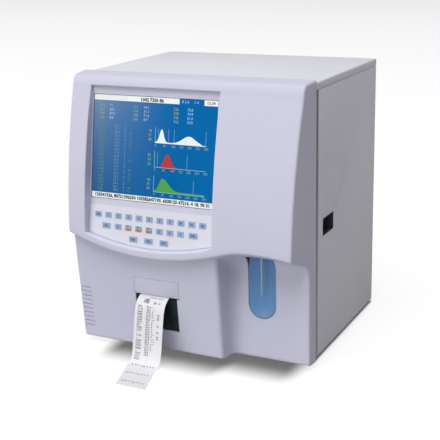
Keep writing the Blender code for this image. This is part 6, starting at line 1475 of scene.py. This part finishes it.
motor_black.relief(plates, 0.00003)
toothed = Finish("toothed_belt", BELT_BLACK, 0.75, spots=(90.0, BELT_WORN), sheen=(300.0, 0.15, 0.66))
toothed.relief(toothed.bands(toothed.along(2) * (1 / BELT_PITCH), 0.2, 0.32), 0.0002)
dressed("probe_needle", "probe_carrier", polished)
dressed("probe_carriage", "probe_carrier", acetal, edge=0.0003)
dressed("lift_pulley", "lift_pulley_body", brushed)
dressed("idler_pulley", "idler_body", brushed)
dressed("lift_belt", "chassis", toothed)
belt_low, belt_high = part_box("lift_belt")
tooth_half = Vector((TOOTH_TALL / 2, TOOTH_LONG / 2, TOOTH_WIDE / 2))
tooth = held("tooth", bar(-tooth_half, tooth_half))
runs = []
first, last = belt_low.z + BELT_ROUND, belt_high.z - BELT_ROUND
for i in range(int((last - first) / BELT_PITCH)):
    for edge, inward in ((belt_low.x, 1), (belt_high.x, -1)):
        runs.append(((edge + inward * (BELT_THICK + TOOTH_TALL / 2 - TOOTH_SUNK),
                      (belt_low.y + belt_high.y) / 2, first + BELT_PITCH * i), (0, 0, 0), (1, 1, 1)))
repeated("belt_teeth", tooth, runs, "chassis", toothed, "lift_belt")
surfaced(brushed, "probe_rail")
dressed("lift_motor", "chassis", motor_black)
surfaced(clear, "wipe_block")

# Fluid side: two machined acrylic baths, a pair of glass syringes on one motor, a row of valves on
# their manifold, a closed waste chamber and a membrane pump.
SYRINGE_GLASS, MARK_DARK, MARKS_PER_METRE = (0.85, 0.90, 0.90), (0.10, 0.14, 0.18), 200.0
MANIFOLD, MANIFOLD_DEEP = (0.72, 0.78, 0.80), 0.018
COIL_BLACK, COIL_COPPER, COILS_PER_METRE = (0.02, 0.02, 0.022), (0.20, 0.07, 0.03), 700.0
CHAMBER, CHAMBER_FULL, CHAMBER_CLEAR = (0.82, 0.84, 0.82), (0.62, 0.66, 0.60), (0.84, 0.86, 0.85)
FLUID_LEVEL = 0.060
PUMP_GREY = (0.14, 0.145, 0.155)
dressed("wbc_bath", "chassis", clear, edge=0.0004)
dressed("rbc_bath", "chassis", clear, edge=0.0004)
glassy = Finish("syringe_glass", SYRINGE_GLASS, 0.04, sheen=(80.0, 0.05, 0.02), Transmission_Weight=0.85,
                IOR=1.47)
marks = glassy.bands(glassy.along(2) * MARKS_PER_METRE, 0.45, 0.47)
glassy.put("Base Color", glassy.blended(marks, glassy.colour, MARK_DARK))
dressed("syringe_barrel_a", "chassis", glassy)
dressed("syringe_barrel_b", "chassis", glassy)
dressed("syringe_plunger", "plungers", brushed, edge=0.0002)
dressed("syringe_motor", "chassis", motor_black)
valve_low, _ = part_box("valve_bank")
valve_body = Finish("valve_bank_surface", MANIFOLD, 0.2)
past_manifold = valve_body.along(0) > valve_low.x + MANIFOLD_DEEP
coil = valve_body.bands(valve_body.along(0) * COILS_PER_METRE, 0.2, 0.4)
coil_colour = valve_body.blended(coil, COIL_BLACK, COIL_COPPER)
valve_body.put("Base Color", valve_body.blended(past_manifold, valve_body.colour, coil_colour))
valve_body.relief(coil * past_manifold, 0.00008)
valve_body.put("Roughness", valve_body.noise(100.0) * 0.15 + past_manifold * 0.25 + 0.12)
surfaced(valve_body, "valve_bank")
cloudy = Finish("cloudy_chamber", CHAMBER, 0.35, grain=(250.0, 0.00004), sheen=(60.0, 0.15, 0.28),
                Transmission_Weight=0.25, IOR=1.5)
over_fluid = cloudy.along(2).step(FLUID_LEVEL, FLUID_LEVEL + 0.002)
cloudy.put("Base Color", cloudy.blended(over_fluid, CHAMBER_FULL, CHAMBER_CLEAR))
dressed("waste_chamber", "chassis", cloudy)
pump_grey = Finish("pump_case", PUMP_GREY, 0.42, 0.4, spots=(60.0, 0.2), grain=(500.0, 0.00005, 3.0),
                   sheen=(120.0, 0.2, 0.34))
dressed("liquid_pump", "chassis", pump_grey)

# Electronics side: the power supply in its plated steel box with a perforated lid, and the fan of black
# moulded plastic that blows out through the rear panel.
SUPPLY_STEEL, HOLE_DARK, HOLES_PER_METRE = (0.55, 0.56, 0.57), (0.03, 0.03, 0.03), 160.0
supply = Finish("supply_case", SUPPLY_STEEL, 0.36, 0.9, sheen=(120.0, 0.2, 0.28))
dot_x, dot_y = [(supply.along(axis) * HOLES_PER_METRE).part() - 0.5 for axis in (0, 1)]
holes = 1 - (dot_x * dot_x + dot_y * dot_y).step(0.05, 0.075)
supply.put("Base Color", supply.blended(holes, supply.colour, HOLE_DARK))
supply.relief(1 - holes, 0.0003)
surfaced(supply, "power_supply")
surfaced(black, "fan_frame")
dressed("fan_rotor", "fan", black)

# Rear and underside: mains inlet with its rocker, plated port shells and moulded hose barbs, all set in
# the rear panel, and four feet of black rubber.
ROCKER_BLACK, BARB_GREY = (0.02, 0.02, 0.022), (0.20, 0.21, 0.22)
surfaced(black, "mains_inlet")
rocker = Finish("rocker_gloss", ROCKER_BLACK, 0.2, spots=(80.0, 0.2), sheen=(90.0, 0.08, 0.16))
dressed("power_switch", "rocker", rocker, edge=0.0002)
surfaced(zinc, "rear_ports")
barb = Finish("moulded_barbs", BARB_GREY, 0.45, spots=(60.0, 0.15), grain=(900.0, 0.00003),
              sheen=(90.0, 0.12, 0.4))
dressed("fluid_fittings", "chassis", barb)
for foot in ("foot_front_left", "foot_front_right", "foot_rear_left", "foot_rear_right"):
    dressed(foot, "chassis", rubber, edge=0.0006)
